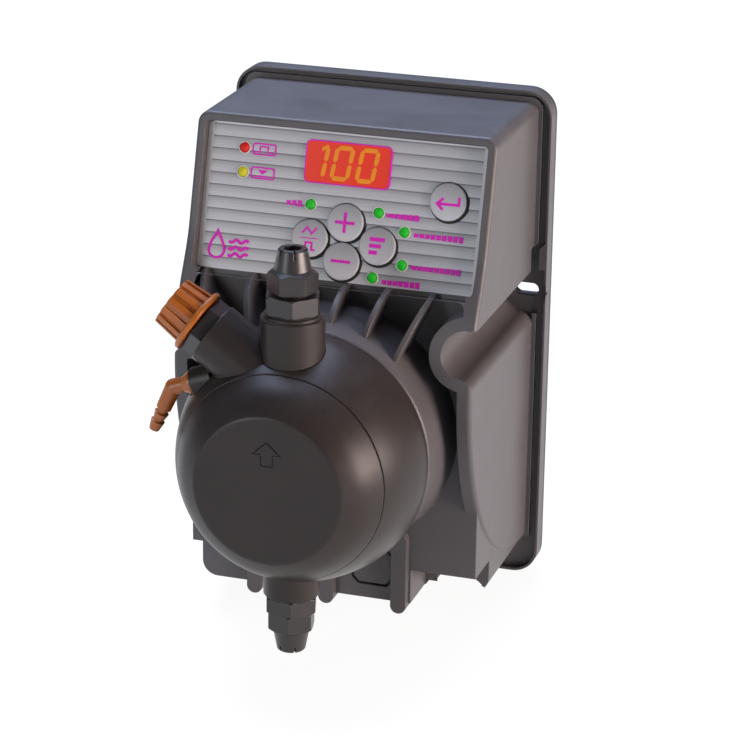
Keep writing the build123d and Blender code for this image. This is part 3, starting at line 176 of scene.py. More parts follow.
def moulded_grain_group():
    """Moulded plastic: fine grain height, slow blotches of tone and of shine."""
    group, given, result = new_group(
        "moulded_grain",
        [
            ("Color", "NodeSocketColor", (0.1, 0.1, 0.1, 1)),
            ("Tone", "NodeSocketFloat", 0.1),
            ("Grain Scale", "NodeSocketFloat", 1500.0),
            ("Roughness", "NodeSocketFloat", 0.5),
            ("Spread", "NodeSocketFloat", 0.08),
        ],
        [("Color", "NodeSocketColor"), ("Roughness", "NodeSocketFloat"), ("Height", "NodeSocketFloat")],
    )
    place = own_place(group)
    fine = noise(group, place, given.outputs["Grain Scale"], 2.0, 0.6)
    pores = add_node(
        group,
        "ShaderNodeTexVoronoi",
        {"feature": "SMOOTH_F1"},
        {"Vector": place, "Scale": given.outputs["Grain Scale"], "Smoothness": 0.4},
    )
    blotches = stretched(group, noise(group, place, 38.0, 3.0, 0.55), 0.3, 0.7, -1.0, 1.0)
    gain = maths(group, "ADD", maths(group, "MULTIPLY", blotches, given.outputs["Tone"]), 1.0)
    tinted = add_node(
        group,
        "ShaderNodeVectorMath",
        {"operation": "SCALE"},
        {"Vector": given.outputs["Color"], "Scale": gain},
    )
    shine = maths(group, "MULTIPLY_ADD", blotches, given.outputs["Spread"], given.outputs["Roughness"])
    height = maths(group, "MULTIPLY_ADD", pores.outputs["Distance"], 0.5, fine)
    group.links.new(tinted.outputs["Vector"], result.inputs["Color"])
    group.links.new(shine, result.inputs["Roughness"])
    group.links.new(height, result.inputs["Height"])
    return group


def soft_edge_group():
    """Rounded look of moulded edges, and a patchy mask of the edges that carries a painted highlight along
    them.
    """
    group, given, result = new_group(
        "soft_edges",
        [("Radius", "NodeSocketFloat", 0.0006), ("Patch Scale", "NodeSocketFloat", 160.0)],
        [("Normal", "NodeSocketVector"), ("Edge", "NodeSocketFloat")],
    )
    rounded = add_node(group, "ShaderNodeBevel", {"samples": 6}, {"Radius": given.outputs["Radius"]})
    true_normal = add_node(group, "ShaderNodeNewGeometry").outputs["Normal"]
    match = add_node(
        group,
        "ShaderNodeVectorMath",
        {"operation": "DOT_PRODUCT"},
        {0: rounded.outputs["Normal"], 1: true_normal},
    )
    bend = stretched(group, match.outputs["Value"], 1.0, 0.85, 0.0, 1.0)
    patchy = noise(group, own_place(group), given.outputs["Patch Scale"], 4.0, 0.6)
    mask = maths(group, "MULTIPLY", bend, stretched(group, patchy, 0.35, 0.65, 0.3, 1.0))
    group.links.new(rounded.outputs["Normal"], result.inputs["Normal"])
    group.links.new(mask, result.inputs["Edge"])
    return group


def settled_dust_group():
    """Thin dust on faces that look up, broken up by noise."""
    group, given, result = new_group(
        "settled_dust",
        [("Color", "NodeSocketColor", (0.1, 0.1, 0.1, 1)), ("Amount", "NodeSocketFloat", 0.1)],
        [("Color", "NodeSocketColor"), ("Mask", "NodeSocketFloat")],
    )
    normal = add_node(group, "ShaderNodeNewGeometry").outputs["Normal"]
    upward = add_node(group, "ShaderNodeSeparateXYZ", links={"Vector": normal}).outputs["Z"]
    facing = stretched(group, upward, 0.35, 0.95, 0.0, 1.0)
    spots = stretched(group, noise(group, own_place(group), 120.0, 5.0, 0.65), 0.4, 0.75, 0.2, 1.0)
    mask = maths(group, "MULTIPLY", maths(group, "MULTIPLY", facing, spots), given.outputs["Amount"])
    dusted = mixed(group, mask, given.outputs["Color"], linear(176, 172, 166))
    group.links.new(dusted, result.inputs["Color"])
    group.links.new(mask, result.inputs["Mask"])
    return group


moulded_grain = moulded_grain_group()
soft_edges = soft_edge_group()
settled_dust = settled_dust_group()


def new_material(name):
    """Empty node material; returns it with its tree and Principled shader."""
    material = bpy.data.materials.new(name)
    material.use_nodes = True
    tree = material.node_tree
    shader = tree.nodes["Principled BSDF"]
    return material, tree, shader


def place_group(tree, group, links):
    """A shader group in a material, with values or links on its inputs."""
    return add_node(tree, "ShaderNodeGroup", {"node_tree": group}, links)


def plastic(
    name,
    colour,
    roughness,
    grain=1500.0,
    bump=0.02,
    tone=0.08,
    edge=0.0006,
    edge_highlight=0.35,
    dust=0.04,
    specular=0.5,
):
    """Moulded plastic with grain, rounded edges that are a little shinier and carry a painted highlight, and
    a little dust.
    """
    material, tree, shader = new_material(name)
    edges = place_group(tree, soft_edges, {"Radius": edge})
    grained = place_group(
        tree,
        moulded_grain,
        {"Color": colour, "Tone": tone, "Grain Scale": grain, "Roughness": roughness, "Spread": 0.06},
    )
    # Painted highlight along the edges: a lighter copy of the colour mixed in by the edge mask
    lighter = [min(1.0, channel * 1.7 + 0.01) for channel in colour[:3]] + [1.0]
    edge_highlight_mask = maths(tree, "MULTIPLY", edges.outputs["Edge"], edge_highlight)
    highlighted = mixed(tree, edge_highlight_mask, grained.outputs["Color"], lighter)
    dusted = place_group(tree, settled_dust, {"Color": highlighted, "Amount": dust})
    tree.links.new(dusted.outputs["Color"], shader.inputs["Base Color"])
    shine = maths(tree, "MULTIPLY_ADD", edge_highlight_mask, -0.25, grained.outputs["Roughness"])
    tree.links.new(shine, shader.inputs["Roughness"])
    shader.inputs["Specular IOR Level"].default_value = specular
    relief = add_node(
        tree,
        "ShaderNodeBump",
        links={
            "Strength": bump,
            "Distance": 0.0004,
            "Height": grained.outputs["Height"],
            "Normal": edges.outputs["Normal"],
        },
    )
    tree.links.new(relief.outputs["Normal"], shader.inputs["Normal"])
    return material


# edge_highlight sets the strength of the painted highlight along each part's edges
housing_plastic = plastic("housing_plastic", linear(80, 77, 78), 0.48, bump=0.1, edge=0.0005, edge_highlight=1.0)
back_plastic = plastic("back_plate_plastic", linear(60, 60, 62), 0.55, bump=0.1)
head_plastic = plastic("head_plastic", linear(44, 38, 36), 0.37, bump=0.06, edge_highlight=0.6, specular=0.28)
nut_plastic = plastic("nut_plastic", linear(42, 39, 39), 0.32, bump=0.05, edge=0.0004)
knob_plastic = plastic(
    "knob_plastic", linear(166, 90, 26), 0.34, bump=0.05, tone=0.1, edge=0.0004, edge_highlight=0.9, dust=0.02
)
rim_plastic = plastic("lamp_rim_plastic", linear(205, 212, 200), 0.45, bump=0.02, edge=0.0002, dust=0.0)
board_green = plastic("board_laminate", linear(28, 92, 50), 0.4, edge=0.0002)
inner_plastic = plastic("inner_plastic", linear(96, 96, 100), 0.5)
seal_rubber = plastic("seal_rubber", linear(26, 26, 26), 0.7, edge=0.0002)
diaphragm_white = plastic("diaphragm_face", linear(224, 222, 216), 0.4, edge=0.0002)


def down_the_panel(tree, place):
    """Millimetres down from the panel's top edge, from a place on it."""
    rise = add_node(
        tree, "ShaderNodeVectorMath", {"operation": "DOT_PRODUCT"}, {0: place, 1: tuple(panel_up / mm)}
    )
    return maths(tree, "SUBTRACT", panel_top / mm, rise.outputs["Value"])


def times_colour(tree, colour, factor):
    """Colour made darker or lighter by a factor, or by one for each channel."""
    scaled = add_node(tree, "ShaderNodeVectorMath", {"operation": "MULTIPLY"}, {0: colour, 1: factor})
    return scaled.outputs["Vector"]


# Painted shade at each share of the way down a ridge
PAINTED_RIDGE_SHADES = ((0.07, 0.38), (0.17, 0.66), (0.55, 0.86))
MARGIN_SHADE = 0.88


def painted_ridge_shade(tree, place):
    """Painted shade under each lapped ridge: dark at its root, light at its lip, even in the side margins."""
    down = maths(tree, "SUBTRACT", down_the_panel(tree, place), RIDGE_FIRST - ridge_pitch)
    part = maths(tree, "FRACT", maths(tree, "DIVIDE", down, ridge_pitch))
    ramp = add_node(tree, "ShaderNodeValToRGB", links={"Fac": part})
    stops = ramp.color_ramp.elements
    stops[0].position, stops[0].color = 0.0, (0.3, 0.3, 0.32, 1)
    stops[1].position, stops[1].color = 1.0, (1, 1, 1, 1)
    for position, shade in PAINTED_RIDGE_SHADES:
        stops.new(position).color = (shade, shade, shade, 1)
    across = add_node(tree, "ShaderNodeSeparateXYZ", links={"Vector": place}).outputs["X"]
    edge = (panel_half - PANEL_MARGIN) * mm
    margin = maths(tree, "GREATER_THAN", maths(tree, "ABSOLUTE", across), edge)
    return mixed(tree, margin, ramp.outputs["Color"], (MARGIN_SHADE, MARGIN_SHADE, MARGIN_SHADE, 1))


def coated_film():
    """Silver-grey panel film: fine sideways brushing, painted shade under its ridges and a satin coat."""
    material, tree, shader = new_material("panel_film")
    place = own_place(tree)
    stretch = add_node(tree, "ShaderNodeMapping", {"vector_type": "POINT"}, {"Vector": place})
    stretch.inputs["Scale"].default_value = (40, 2200, 2200)
    streaks = noise(tree, stretch.outputs["Vector"], 1.0, 2.0)
    shade = stretched(tree, streaks, 0.3, 0.7, 0.0, 1.0)
    tint = mixed(tree, shade, linear(186, 187, 191), linear(197, 198, 201))
    # Base colour: the brushed tint times the painted shade under the ridges
    tree.links.new(times_colour(tree, tint, painted_ridge_shade(tree, place)), shader.inputs["Base Color"])
    tree.links.new(stretched(tree, streaks, 0.3, 0.7, 0.42, 0.5), shader.inputs["Roughness"])
    shader.inputs["Metallic"].default_value = 0.25
    relief = add_node(tree, "ShaderNodeBump", links={"Strength": 0.05, "Distance": 0.0001, "Height": streaks})
    tree.links.new(relief.outputs["Normal"], shader.inputs["Normal"])
    return material


# Painted shade across each key: its reach up and down from the centre, and the colour's share at top and
# bottom
KEY_RISE, KEY_FALL = 6.5, 5.5
KEY_TOP_SHADE, KEY_BOTTOM_SHADE = 0.5, 1.05


def key_cap(name, middle):
    """Dished rubber key with painted shade: darker at its top than at its bottom."""
    material = plastic(name, linear(192, 193, 196), 0.5, bump=0.05, tone=0.03, edge=0.0004, dust=0.0)
    tree = material.node_tree
    shader = tree.nodes["Principled BSDF"]
    colour = shader.inputs["Base Color"].links[0].from_socket
    down = down_the_panel(tree, own_place(tree))
    ends = (middle - KEY_RISE, middle + KEY_FALL)
    # Painted shade across the key's face, from its top to its bottom
    painted_key_shade = stretched(tree, down, *ends, KEY_TOP_SHADE, KEY_BOTTOM_SHADE)
    tree.links.new(times_colour(tree, colour, painted_key_shade), shader.inputs["Base Color"])
    return material


def glossy_lens(name, colour, glow, strength, coat=0.4, roughness=0.22):
    """Coloured lens or window with a clear coat, a faint glow and small swirls in its colour."""
    material, tree, shader = new_material(name)
    grained = place_group(
        tree,
        moulded_grain,
        {"Color": colour, "Tone": 0.05, "Grain Scale": 900.0, "Roughness": roughness, "Spread": 0.04},
    )
    tree.links.new(grained.outputs["Color"], shader.inputs["Base Color"])
    tree.links.new(grained.outputs["Roughness"], shader.inputs["Roughness"])
    shader.inputs["Coat Weight"].default_value = coat
    shader.inputs["Coat Roughness"].default_value = 0.08
    shader.inputs["Emission Color"].default_value = glow
    shader.inputs["Emission Strength"].default_value = strength
    return material


def printed_ink(name, colour):
    """Screen-printed ink: nearly flat, with a fine speckle in tone and shine."""
    material, tree, shader = new_material(name)
    grained = place_group(
        tree,
        moulded_grain,
        {"Color": colour, "Tone": 0.06, "Grain Scale": 2500.0, "Roughness": 0.6, "Spread": 0.05},
    )
    tree.links.new(grained.outputs["Color"], shader.inputs["Base Color"])
    tree.links.new(grained.outputs["Roughness"], shader.inputs["Roughness"])
    return material


def turned_metal(name, colour, roughness):
    """Machined metal with fine turning marks."""
    material, tree, shader = new_material(name)
    rings = add_node(
        tree,
        "ShaderNodeTexWave",
        {"wave_type": "BANDS", "bands_direction": "Y"},
        {"Vector": own_place(tree), "Scale": 900.0, "Distortion": 1.5, "Detail": 2.0},
    ).outputs["Fac"]
    darker = [channel * 0.82 for channel in colour[:3]] + [1.0]
    tree.links.new(mixed(tree, rings, colour, darker), shader.inputs["Base Color"])
    tree.links.new(stretched(tree, rings, 0.0, 1.0, roughness, roughness + 0.12), shader.inputs["Roughness"])
    shader.inputs["Metallic"].default_value = 1.0
    return material


panel_film = coated_film()
window_orange = glossy_lens("window_orange", linear(210, 40, 6), linear(232, 56, 8), 0.2, 0.02, 0.6)
lamp_red = glossy_lens("lamp_red", linear(205, 16, 14), linear(222, 22, 18), 0.1, 0.0, 0.6)
lamp_yellow = glossy_lens("lamp_yellow", linear(196, 188, 20), linear(214, 206, 28), 0.1, 0.0, 0.6)
lamp_green = glossy_lens("lamp_green", linear(6, 170, 22), linear(10, 190, 24), 0.2, 0.0, 0.6)
digit_amber = glossy_lens("digit_amber", linear(214, 128, 2), linear(228, 140, 2), 0.2, 0.0, 0.6)
magenta_ink = printed_ink("magenta_ink", linear(218, 4, 186))
steel = turned_metal("turned_steel", linear(178, 178, 180), 0.3)
brass = turned_metal("turned_brass", linear(200, 164, 92), 0.3)
copper = turned_metal("coil_copper", linear(190, 110, 66), 0.35)
ceramic = glossy_lens("ball_ceramic", linear(228, 224, 214), linear(228, 224, 214), 0.0)

finishes = {
    "housing_shell": housing_plastic,
    "blanking_cover": housing_plastic,
    "back_plate": back_plastic,
    "back_seals": seal_rubber,
    "back_plate_screws": steel,
    "control_panel": panel_film,
    "display_window": window_orange,
    "display_module": inner_plastic,
    "control_board": board_green,
    "board_screws": steel,
    "key_switches": inner_plastic,
    "led_red": lamp_red,
    "led_yellow": lamp_yellow,
    "led_green": lamp_green,
    "cable_gland": back_plastic,
    "signal_sockets": back_plastic,
    "solenoid_can": steel,
    "coil_bobbin": inner_plastic,
    "coil": copper,
    "fixed_core": steel,
    "plunger": steel,
    "return_spring": steel,
    "shaft_bush": brass,
    "backing_ring": inner_plastic,
    "diaphragm": diaphragm_white,
    "diaphragm_hub": diaphragm_white,
    "pump_head": head_plastic,
    "head_cover": head_plastic,
    "head_screws": steel,
    "delivery_valve_body": head_plastic,
    "delivery_seat": seal_rubber,
    "delivery_ball": ceramic,
    "delivery_adapter": nut_plastic,
    "delivery_seal": seal_rubber,
    "delivery_tube_nut": nut_plastic,
    "delivery_ferrule": inner_plastic,
    "suction_valve_body": head_plastic,
    "suction_seat": seal_rubber,
    "suction_ball": ceramic,
    "suction_adapter": nut_plastic,
    "suction_seal": seal_rubber,
    "suction_tube_nut": nut_plastic,
    "suction_ferrule": inner_plastic,
    "bleed_valve_body": nut_plastic,
    "bleed_stem": steel,
    "bleed_knob": knob_plastic,
    "hose_barb_elbow": knob_plastic,
}
key_centres = {
    "enter": (39.9, 20.9),
    "plus": (2.2, 32.2),
    "signal": (-10.8, 39.1),
    "function": (15.1, 39.4),
    "minus": (2.0, 46.3),
}
for key, centre in key_centres.items():
    finishes[f"button_{key}"] = key_cap(f"key_rubber_{key}", centre[1])
for node_name, material in finishes.items():
    data = nodes[node_name].data
    data.materials.clear()
    data.materials.append(material)


# Surfaces worked out as whole arrays
def surface(name, points, material, wrap_across=False, wrap_along=False, smooth=True, caps=False):
    """Mesh of quads over a grid of points (rows, columns, 3), closed either way on request, facing out."""
    rows, columns = points.shape[:2]
    row = np.arange(rows if wrap_along else rows - 1)[:, None]
    column = np.arange(columns if wrap_across else columns - 1)[None, :]
    next_row = (row + 1) % rows
    next_column = (column + 1) % columns
    quads = np.stack(
        [
            row * columns + column,
            row * columns + next_column,
            next_row * columns + next_column,
            next_row * columns + column,
        ],
        axis=-1,
    ).reshape(-1, 4)
    faces = quads.tolist()
    if caps:
        faces.append(list(range(columns))[::-1])
        faces.append(list(range((rows - 1) * columns, rows * columns)))
    places = points.reshape(-1, 3)
    first, second, third, fourth = np.moveaxis((places - places.mean(axis=0))[quads], 1, 0)
    facing = (first * (np.cross(second, third) + np.cross(third, fourth))).sum()
    if facing < 0:
        faces = [face[::-1] for face in faces]
    mesh = bpy.data.meshes.new(name)
    mesh.from_pydata(places.tolist(), [], faces)
    mesh.polygons.foreach_set("use_smooth", np.full(len(faces), smooth))
    mesh.materials.append(material)
    mesh.update()
    piece = bpy.data.objects.new(name, mesh)
    bpy.context.scene.collection.objects.link(piece)
    return piece


def join(name, pieces):
    """One piece from several, keeping the name."""
    bpy.ops.object.select_all(action="DESELECT")
    for piece in pieces:
        piece.select_set(True)
    bpy.context.view_layer.objects.active = pieces[0]
    if len(pieces) > 1:
        bpy.ops.object.join()
    pieces[0].name = name
    pieces[0].data.name = name
    return pieces[0]


def on_panel(across, down, out):
    """Points of the panel from millimetres across, down from its top edge and out of its face."""
    across, down, out = np.broadcast_arrays(across, down, out)
    return (
        across[..., None] * mm * panel_right
        + (panel_top - down[..., None] * mm) * panel_up
        + (panel_face + out[..., None] * mm) * panel_normal
    )


def resampled(path, closed, step):
    """Path points with each run cut into steps, its corners kept."""
    corners = np.array(path, float)
    ends = np.roll(corners, -1, axis=0) if closed else corners[1:]
    starts = corners if closed else corners[:-1]
    runs = []
    for start, end in zip(starts, ends):
        count = max(1, int(np.ceil(np.linalg.norm(end - start) / step)))
        runs.append(start + (end - start) * (np.arange(count) / count)[:, None])
    if not closed:
        runs.append(corners[-1:])
    return np.concatenate(runs)


INK_HEIGHT = 0.04
RIDGE_DEPTH = 0.5


def printed_line(name, path, width, closed=False, base=0.0, depth=0.02, material=None, height=INK_HEIGHT):
    """Printed or raised line: a low flat-topped profile carried along a path, mitred at its corners."""
    points = resampled(path, closed, 0.5)
    if closed:
        before = points - np.roll(points, 1, axis=0)
        after = np.roll(points, -1, axis=0) - points
    else:
        steps = np.diff(points, axis=0)
        before = np.concatenate([steps[:1], steps])
        after = np.concatenate([steps, steps[-1:]])
    before /= np.linalg.norm(before, axis=1)[:, None]
    after /= np.linalg.norm(after, axis=1)[:, None]
    middle = before + after
    middle /= np.maximum(np.linalg.norm(middle, axis=1), 1e-6)[:, None]
    sideways = np.stack([-middle[:, 1], middle[:, 0]], axis=1)
    mitre = 1 / np.clip((middle * after).sum(axis=1), 0.5, 1.0)
    offsets = np.array([-0.5, -0.5, -0.42, 0.42, 0.5, 0.5]) * width
    heights = np.array([-depth, 0.6 * height, height, height, 0.6 * height, -depth])
    spread = points[:, None, :] + sideways[:, None, :] * (offsets[None, :] * mitre[:, None])[..., None]
    out = base + heights[None, :]
    grid = on_panel(spread[..., 0], spread[..., 1], out)
    ink = material or magenta_ink
    return surface(name, grid, ink, wrap_across=True, wrap_along=closed, smooth=False, caps=not closed)


def printed_tile(name, outline, base=0.0, depth=0.02, material=None, height=INK_HEIGHT):
    """Flat printed patch: an outline raised by the ink's height."""
    points = np.array(outline, float)
    rings = []
    for level in (-depth, height):
        rings.append(on_panel(points[:, 0], points[:, 1], base + level))
    return surface(name, np.array(rings), material or magenta_ink, wrap_across=True, smooth=False, caps=True)


def turned_on_panel(name, centre, radii, outs, material, segments=40):
    """Round piece on the panel: a profile of radii and heights turned about a line out of the face."""
    turn = np.linspace(0, 2 * pi, segments, endpoint=False)
    radii = np.array(radii, float)[:, None]
    outs = np.array(outs, float)[:, None] + 0 * turn[None, :]
    grid = on_panel(centre[0] + radii * np.cos(turn), centre[1] + radii * np.sin(turn), outs)
    return surface(name, grid, material, wrap_across=True)


def rounded_box(left, right, top, bottom, corner, steps=5):
    """Closed outline of a rectangle with round corners."""
    turn = np.linspace(0, pi / 2, steps + 1)
    outline = []
    for centre_x, centre_y, start in (
        (right - corner, bottom - corner, 0.0),
        (left + corner, bottom - corner, pi / 2),
        (left + corner, top + corner, pi),
        (right - corner, top + corner, 1.5 * pi),
    ):
        arc = start + turn
        outline.extend(zip(centre_x + corner * np.cos(arc), centre_y + corner * np.sin(arc)))
    return outline


DOT_CORNERS = 10


def circle_outline(centre, radius):
    """Closed round outline of a small dot."""
    turn = np.linspace(0, 2 * pi, DOT_CORNERS, endpoint=False)
    return list(zip(centre[0] + radius * np.cos(turn), centre[1] + radius * np.sin(turn)))


# Display: printed frame and three slanted seven-segment digits on the window
window_points = np.array([v.co for v in nodes["display_window"].data.vertices])
window_out = ((window_points @ panel_normal).max() - panel_face) / mm
WINDOW_LEFT, WINDOW_RIGHT = -15.2, 17.2
WINDOW_TOP, WINDOW_BOTTOM = 3.55, 18.85
frame_line = rounded_box(WINDOW_LEFT, WINDOW_RIGHT, WINDOW_TOP, WINDOW_BOTTOM, 2.0)
FRAME_WIDTH, FRAME_DEPTH, FRAME_HEIGHT = 0.5, 0.4, 0.32
display_frame = printed_line(
    "display_frame", frame_line, FRAME_WIDTH, True, 0.05, FRAME_DEPTH, magenta_ink, FRAME_HEIGHT
)
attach(display_frame, "pump")

DIGIT_WIDTH, DIGIT_HEIGHT, DIGIT_SLANT = 5.9, 11.2, 0.14
SEGMENT_WIDTH = 1.6
DIGIT_TOP = 5.5
DIGIT_LEFTS = (-14.3, -4.9, 4.7)
SEGMENT_GAP = 0.1
DIGIT_DEPTH, DIGIT_RISE = 0.02, 0.05
SEGMENTS = {"1": "bc", "0": "abcdef"}


def segment_outline(start, end):
    """Six-sided bar between two points, pointed at its ends."""
    start, end = np.array(start, float), np.array(end, float)
    along = (end - start) / np.linalg.norm(end - start)
    side = np.array((-along[1], along[0])) * SEGMENT_WIDTH / 2
    tip = along * SEGMENT_WIDTH / 2
    start, end = start + along * SEGMENT_GAP, end - along * SEGMENT_GAP
    return np.array([start, start + tip + side, end - tip + side, end, end - tip - side, start + tip - side])


def display_tile(name, outline):
    """Lit patch on the window."""
    return printed_tile(name, outline, window_out, DIGIT_DEPTH, digit_amber, DIGIT_RISE)


def digit(name, figure, left):
    """Seven-segment figure, leaning to the right."""
    middle = DIGIT_HEIGHT / 2
    ends = {
        "a": ((0, 0), (DIGIT_WIDTH, 0)),
        "b": ((DIGIT_WIDTH, 0), (DIGIT_WIDTH, middle)),
        "c": ((DIGIT_WIDTH, middle), (DIGIT_WIDTH, DIGIT_HEIGHT)),
        "d": ((0, DIGIT_HEIGHT), (DIGIT_WIDTH, DIGIT_HEIGHT)),
        "e": ((0, middle), (0, DIGIT_HEIGHT)),
        "f": ((0, 0), (0, middle)),
    }
    bars = []
    for letter in SEGMENTS[figure]:
        outline = segment_outline(*ends[letter])
        outline[:, 0] += left + (DIGIT_HEIGHT - outline[:, 1]) * DIGIT_SLANT
        outline[:, 1] += DIGIT_TOP
        bars.append(display_tile(f"{name}_{letter}", outline))
    return bars


flag_left = DIGIT_LEFTS[0] + DIGIT_WIDTH + DIGIT_HEIGHT * DIGIT_SLANT
FLAG = ((-2.5, 0.5), (-0.5, -0.7), (0.3, -0.1), (-0.9, 0.9), (-2.5, 1.9))
flag_outline = [(flag_left + x, DIGIT_TOP + y) for x, y in FLAG]
digit_bars = [display_tile("first_flag", flag_outline)]
for digit_name, figure, left in zip(("first", "second", "third"), "100", DIGIT_LEFTS):
    digit_bars += digit(digit_name, figure, left)
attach(join("display_digits", digit_bars), "pump")

# Lamp rims
RIM_INNER, RIM_OUTER, RIM_HEIGHT = 1.98, 2.35, 0.35
lamp_places = [
    (-39.0, 8.7),
    (-38.9, 17.6),
    (-11.7, 26.9),
    (14.3, 27.4),
    (24.6, 33.4),
    (24.8, 45.3),
    (14.2, 51.0),
]
rims = []
for index, place in enumerate(lamp_places):
    rims.append(
        turned_on_panel(
            f"lamp_rim_{index}",
            place,
            [RIM_INNER, RIM_OUTER, RIM_OUTER, RIM_OUTER - 0.1, RIM_INNER + 0.1, RIM_INNER, RIM_INNER],
            [-0.6, -0.6, RIM_HEIGHT - 0.12, RIM_HEIGHT, RIM_HEIGHT, RIM_HEIGHT - 0.1, -0.6],
            rim_plastic,
        )
    )
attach(join("lamp_rims", rims), "pump")

# Signs printed on the fascia
LINE = 0.55
pulse_box = rounded_box(-35.8, -27.1, 6.9, 10.8, 0.9)
pulse_wave = [(-34.6, 9.9), (-33.0, 9.9), (-33.0, 7.9), (-30.0, 7.9), (-30.0, 9.9), (-28.4, 9.9)]
level_box = rounded_box(-35.7, -26.9, 15.6, 19.5, 0.9)
signs = [
    printed_line("pulse_box", pulse_box, LINE, True, 0, RIDGE_DEPTH),
    printed_line("pulse_wave", pulse_wave, LINE, False, 0, RIDGE_DEPTH),
    printed_line("level_box", level_box, LINE, True, 0, RIDGE_DEPTH),
    printed_tile("level_drop", [(-33.2, 16.4), (-29.4, 16.4), (-31.3, 18.1)], 0, RIDGE_DEPTH),
    printed_line("level_bar", [(-34.0, 18.7), (-28.6, 18.7)], LINE, False, 0, RIDGE_DEPTH),
]


def tally(name, left, middle, blocks, block_width=1.65, block_height=2.3, gap=0.45):
    """Row of small printed blocks, as a level scale."""
    row = []
    for index in range(blocks):
        start = left + index * (block_width + gap)
        rise = block_height * (0.6 + 0.4 * (index + 1) / blocks) / 2
        end = start + block_width
        outline = [(start, middle - rise), (end, middle - rise), (end, middle + rise), (start, middle + rise)]
        row.append(printed_tile(f"{name}_{index}", outline, 0, RIDGE_DEPTH))
    return row


signs += tally("signal_scale", -21.0, 27.0, 3)
signs += tally("meter_scale", 17.3, 28.0, 6)
signs += tally("upper_scale", 28.2, 34.1, 9)
signs += tally("lower_scale", 28.4, 45.8, 9)
signs += tally("hand_scale", 17.9, 52.1, 7)

drop_turn = np.linspace(0.0, 2 * pi, 28, endpoint=False)
drop_middle_x, drop_middle_y, drop_size = -46.4, 44.9, 4.3
drop_shape = list(
    zip(
        drop_middle_x + drop_size * np.sin(drop_turn) * np.sin(drop_turn / 2) ** 1.5,
        drop_middle_y - drop_size * 1.15 * np.cos(drop_turn),
    )
)
WAVE_LEFT, WAVE_RIGHT, WAVE_TOP = -41.8, -34.2, 43.3
WAVE_PITCH, WAVE_RISE, WAVE_LENGTH = 2.5, 0.6, 3.8
wave_x = np.linspace(WAVE_LEFT, WAVE_RIGHT, 15)
wave_turn = (wave_x - wave_x[0]) * 2 * pi / WAVE_LENGTH
signs.append(printed_line("drop_outline", drop_shape, 1.0, True, 0, RIDGE_DEPTH))
for index in range(3):
    wave_y = WAVE_TOP + WAVE_PITCH * index + WAVE_RISE * np.sin(wave_turn)
    signs.append(printed_line(f"wave_{index}", list(zip(wave_x, wave_y)), 1.1, False, 0, RIDGE_DEPTH))
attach(join("panel_signs", signs), "pump")


# Dark seat of each key, open to view at its lower right: the dark gap round the key and painted shadow of the
# key, shifted to its lower right
SEAT_RADIUS, SEAT_WIDTH, SEAT_SHADOW_SHIFT = 7.35, 1.6, (0.42, 0.5)
SEAT_RISE, SEAT_DEPTH, SEAT_CHAMFER = 0.06, 0.6, 0.05
SEAT_INNER = SEAT_RADIUS - SEAT_WIDTH
seat_shadows = []
for key, centre in key_centres.items():
    seat_centre = (centre[0] + SEAT_SHADOW_SHIFT[0], centre[1] + SEAT_SHADOW_SHIFT[1])
    radii = [SEAT_INNER, SEAT_INNER, SEAT_RADIUS - SEAT_CHAMFER, SEAT_RADIUS, SEAT_RADIUS]
    outs = [-SEAT_DEPTH, SEAT_RISE, SEAT_RISE, 0.0, -SEAT_DEPTH]
    seat_shadows.append(turned_on_panel(f"key_seat_{key}", seat_centre, radii, outs, seal_rubber))
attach(join("key_seat_shadows", seat_shadows), "pump")


# Marks on the keys
def key_face(node_name):
    """Height of a key's face above the fascia, in millimetres."""
    points = np.array([v.co for v in nodes[node_name].data.vertices])
    return ((points @ panel_normal).max() - panel_face) / mm


def dots(name, key, offsets, radius):
    """Small round marks on a key, at offsets from its centre."""
    centre = key_centres[key]
    top = key_face(f"button_{key}")
    return [
        printed_tile(f"{name}_{index}", circle_outline((centre[0] + x, centre[1] + y), radius), top)
        for index, (x, y) in enumerate(offsets)
    ]


DOT_PITCH = 1.05
steps_across = [step * DOT_PITCH for step in range(-3, 4)]
plus_dots = [(step, 0.0) for step in steps_across] + [(0.0, step) for step in steps_across if step]
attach(join("plus_mark", dots("plus_dot", "plus", plus_dots, 0.7)), "plus_key")
minus_dots = [(step, 0.0) for step in steps_across]
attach(join("minus_mark", dots("minus_dot", "minus", minus_dots, 0.66)), "minus_key")


def key_line(name, key, path, width):
    """Printed line on a key, from points about its centre."""
    centre = key_centres[key]
    moved = [(centre[0] + x, centre[1] + y) for x, y in path]
    return printed_line(name, moved, width, False, key_face(f"button_{key}"))


pulse_path = [(-2.6, 4.2), (-1.2, 4.2), (-1.2, 1.6), (1.2, 1.6), (1.2, 4.2), (2.6, 4.2)]
signal_marks = [
    key_line("signal_bar", "signal", [(-3.6, 0), (3.6, 0)], 0.35),
    key_line("signal_pulse", "signal", pulse_path, 0.8),
    key_line("signal_slope", "signal", [(-2.8, -1.7), (-1.0, -3.9), (0.8, -1.7), (2.6, -3.9)], 0.8),
]
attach(join("signal_mark", signal_marks), "signal_key")
function_marks = [
    key_line(f"function_bar_{index}", "function", [(-2.9, step), (2.9 - 1.3 * index, step)], 1.5)
    for index, step in enumerate((-2.4, 0.0, 2.4))
]
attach(join("function_mark", function_marks), "function_key")
enter_marks = [
    key_line("enter_hook", "enter", [(4.2, -2.0), (4.2, 0.9), (-3.2, 0.9)], 1.05),
    key_line("enter_arrow", "enter", [(-1.6, -1.2), (-3.9, 0.9), (-1.6, 3.0)], 1.05),
]
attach(join("enter_mark", enter_marks), "enter_key")


# Dark line in the arrow's groove on the cover: painted shade in the narrow groove
cover_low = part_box("head_cover")[0]
BAND_INSETS = (0.03, 0.47)
BAND_LEVELS = (0.3, 0.45)
ARROW = [(0, 1.0), (5.6, -4.2), (2.4, -4.2), (2.4, -8.5), (-2.4, -8.5), (-2.4, -4.2), (-5.6, -4.2)]


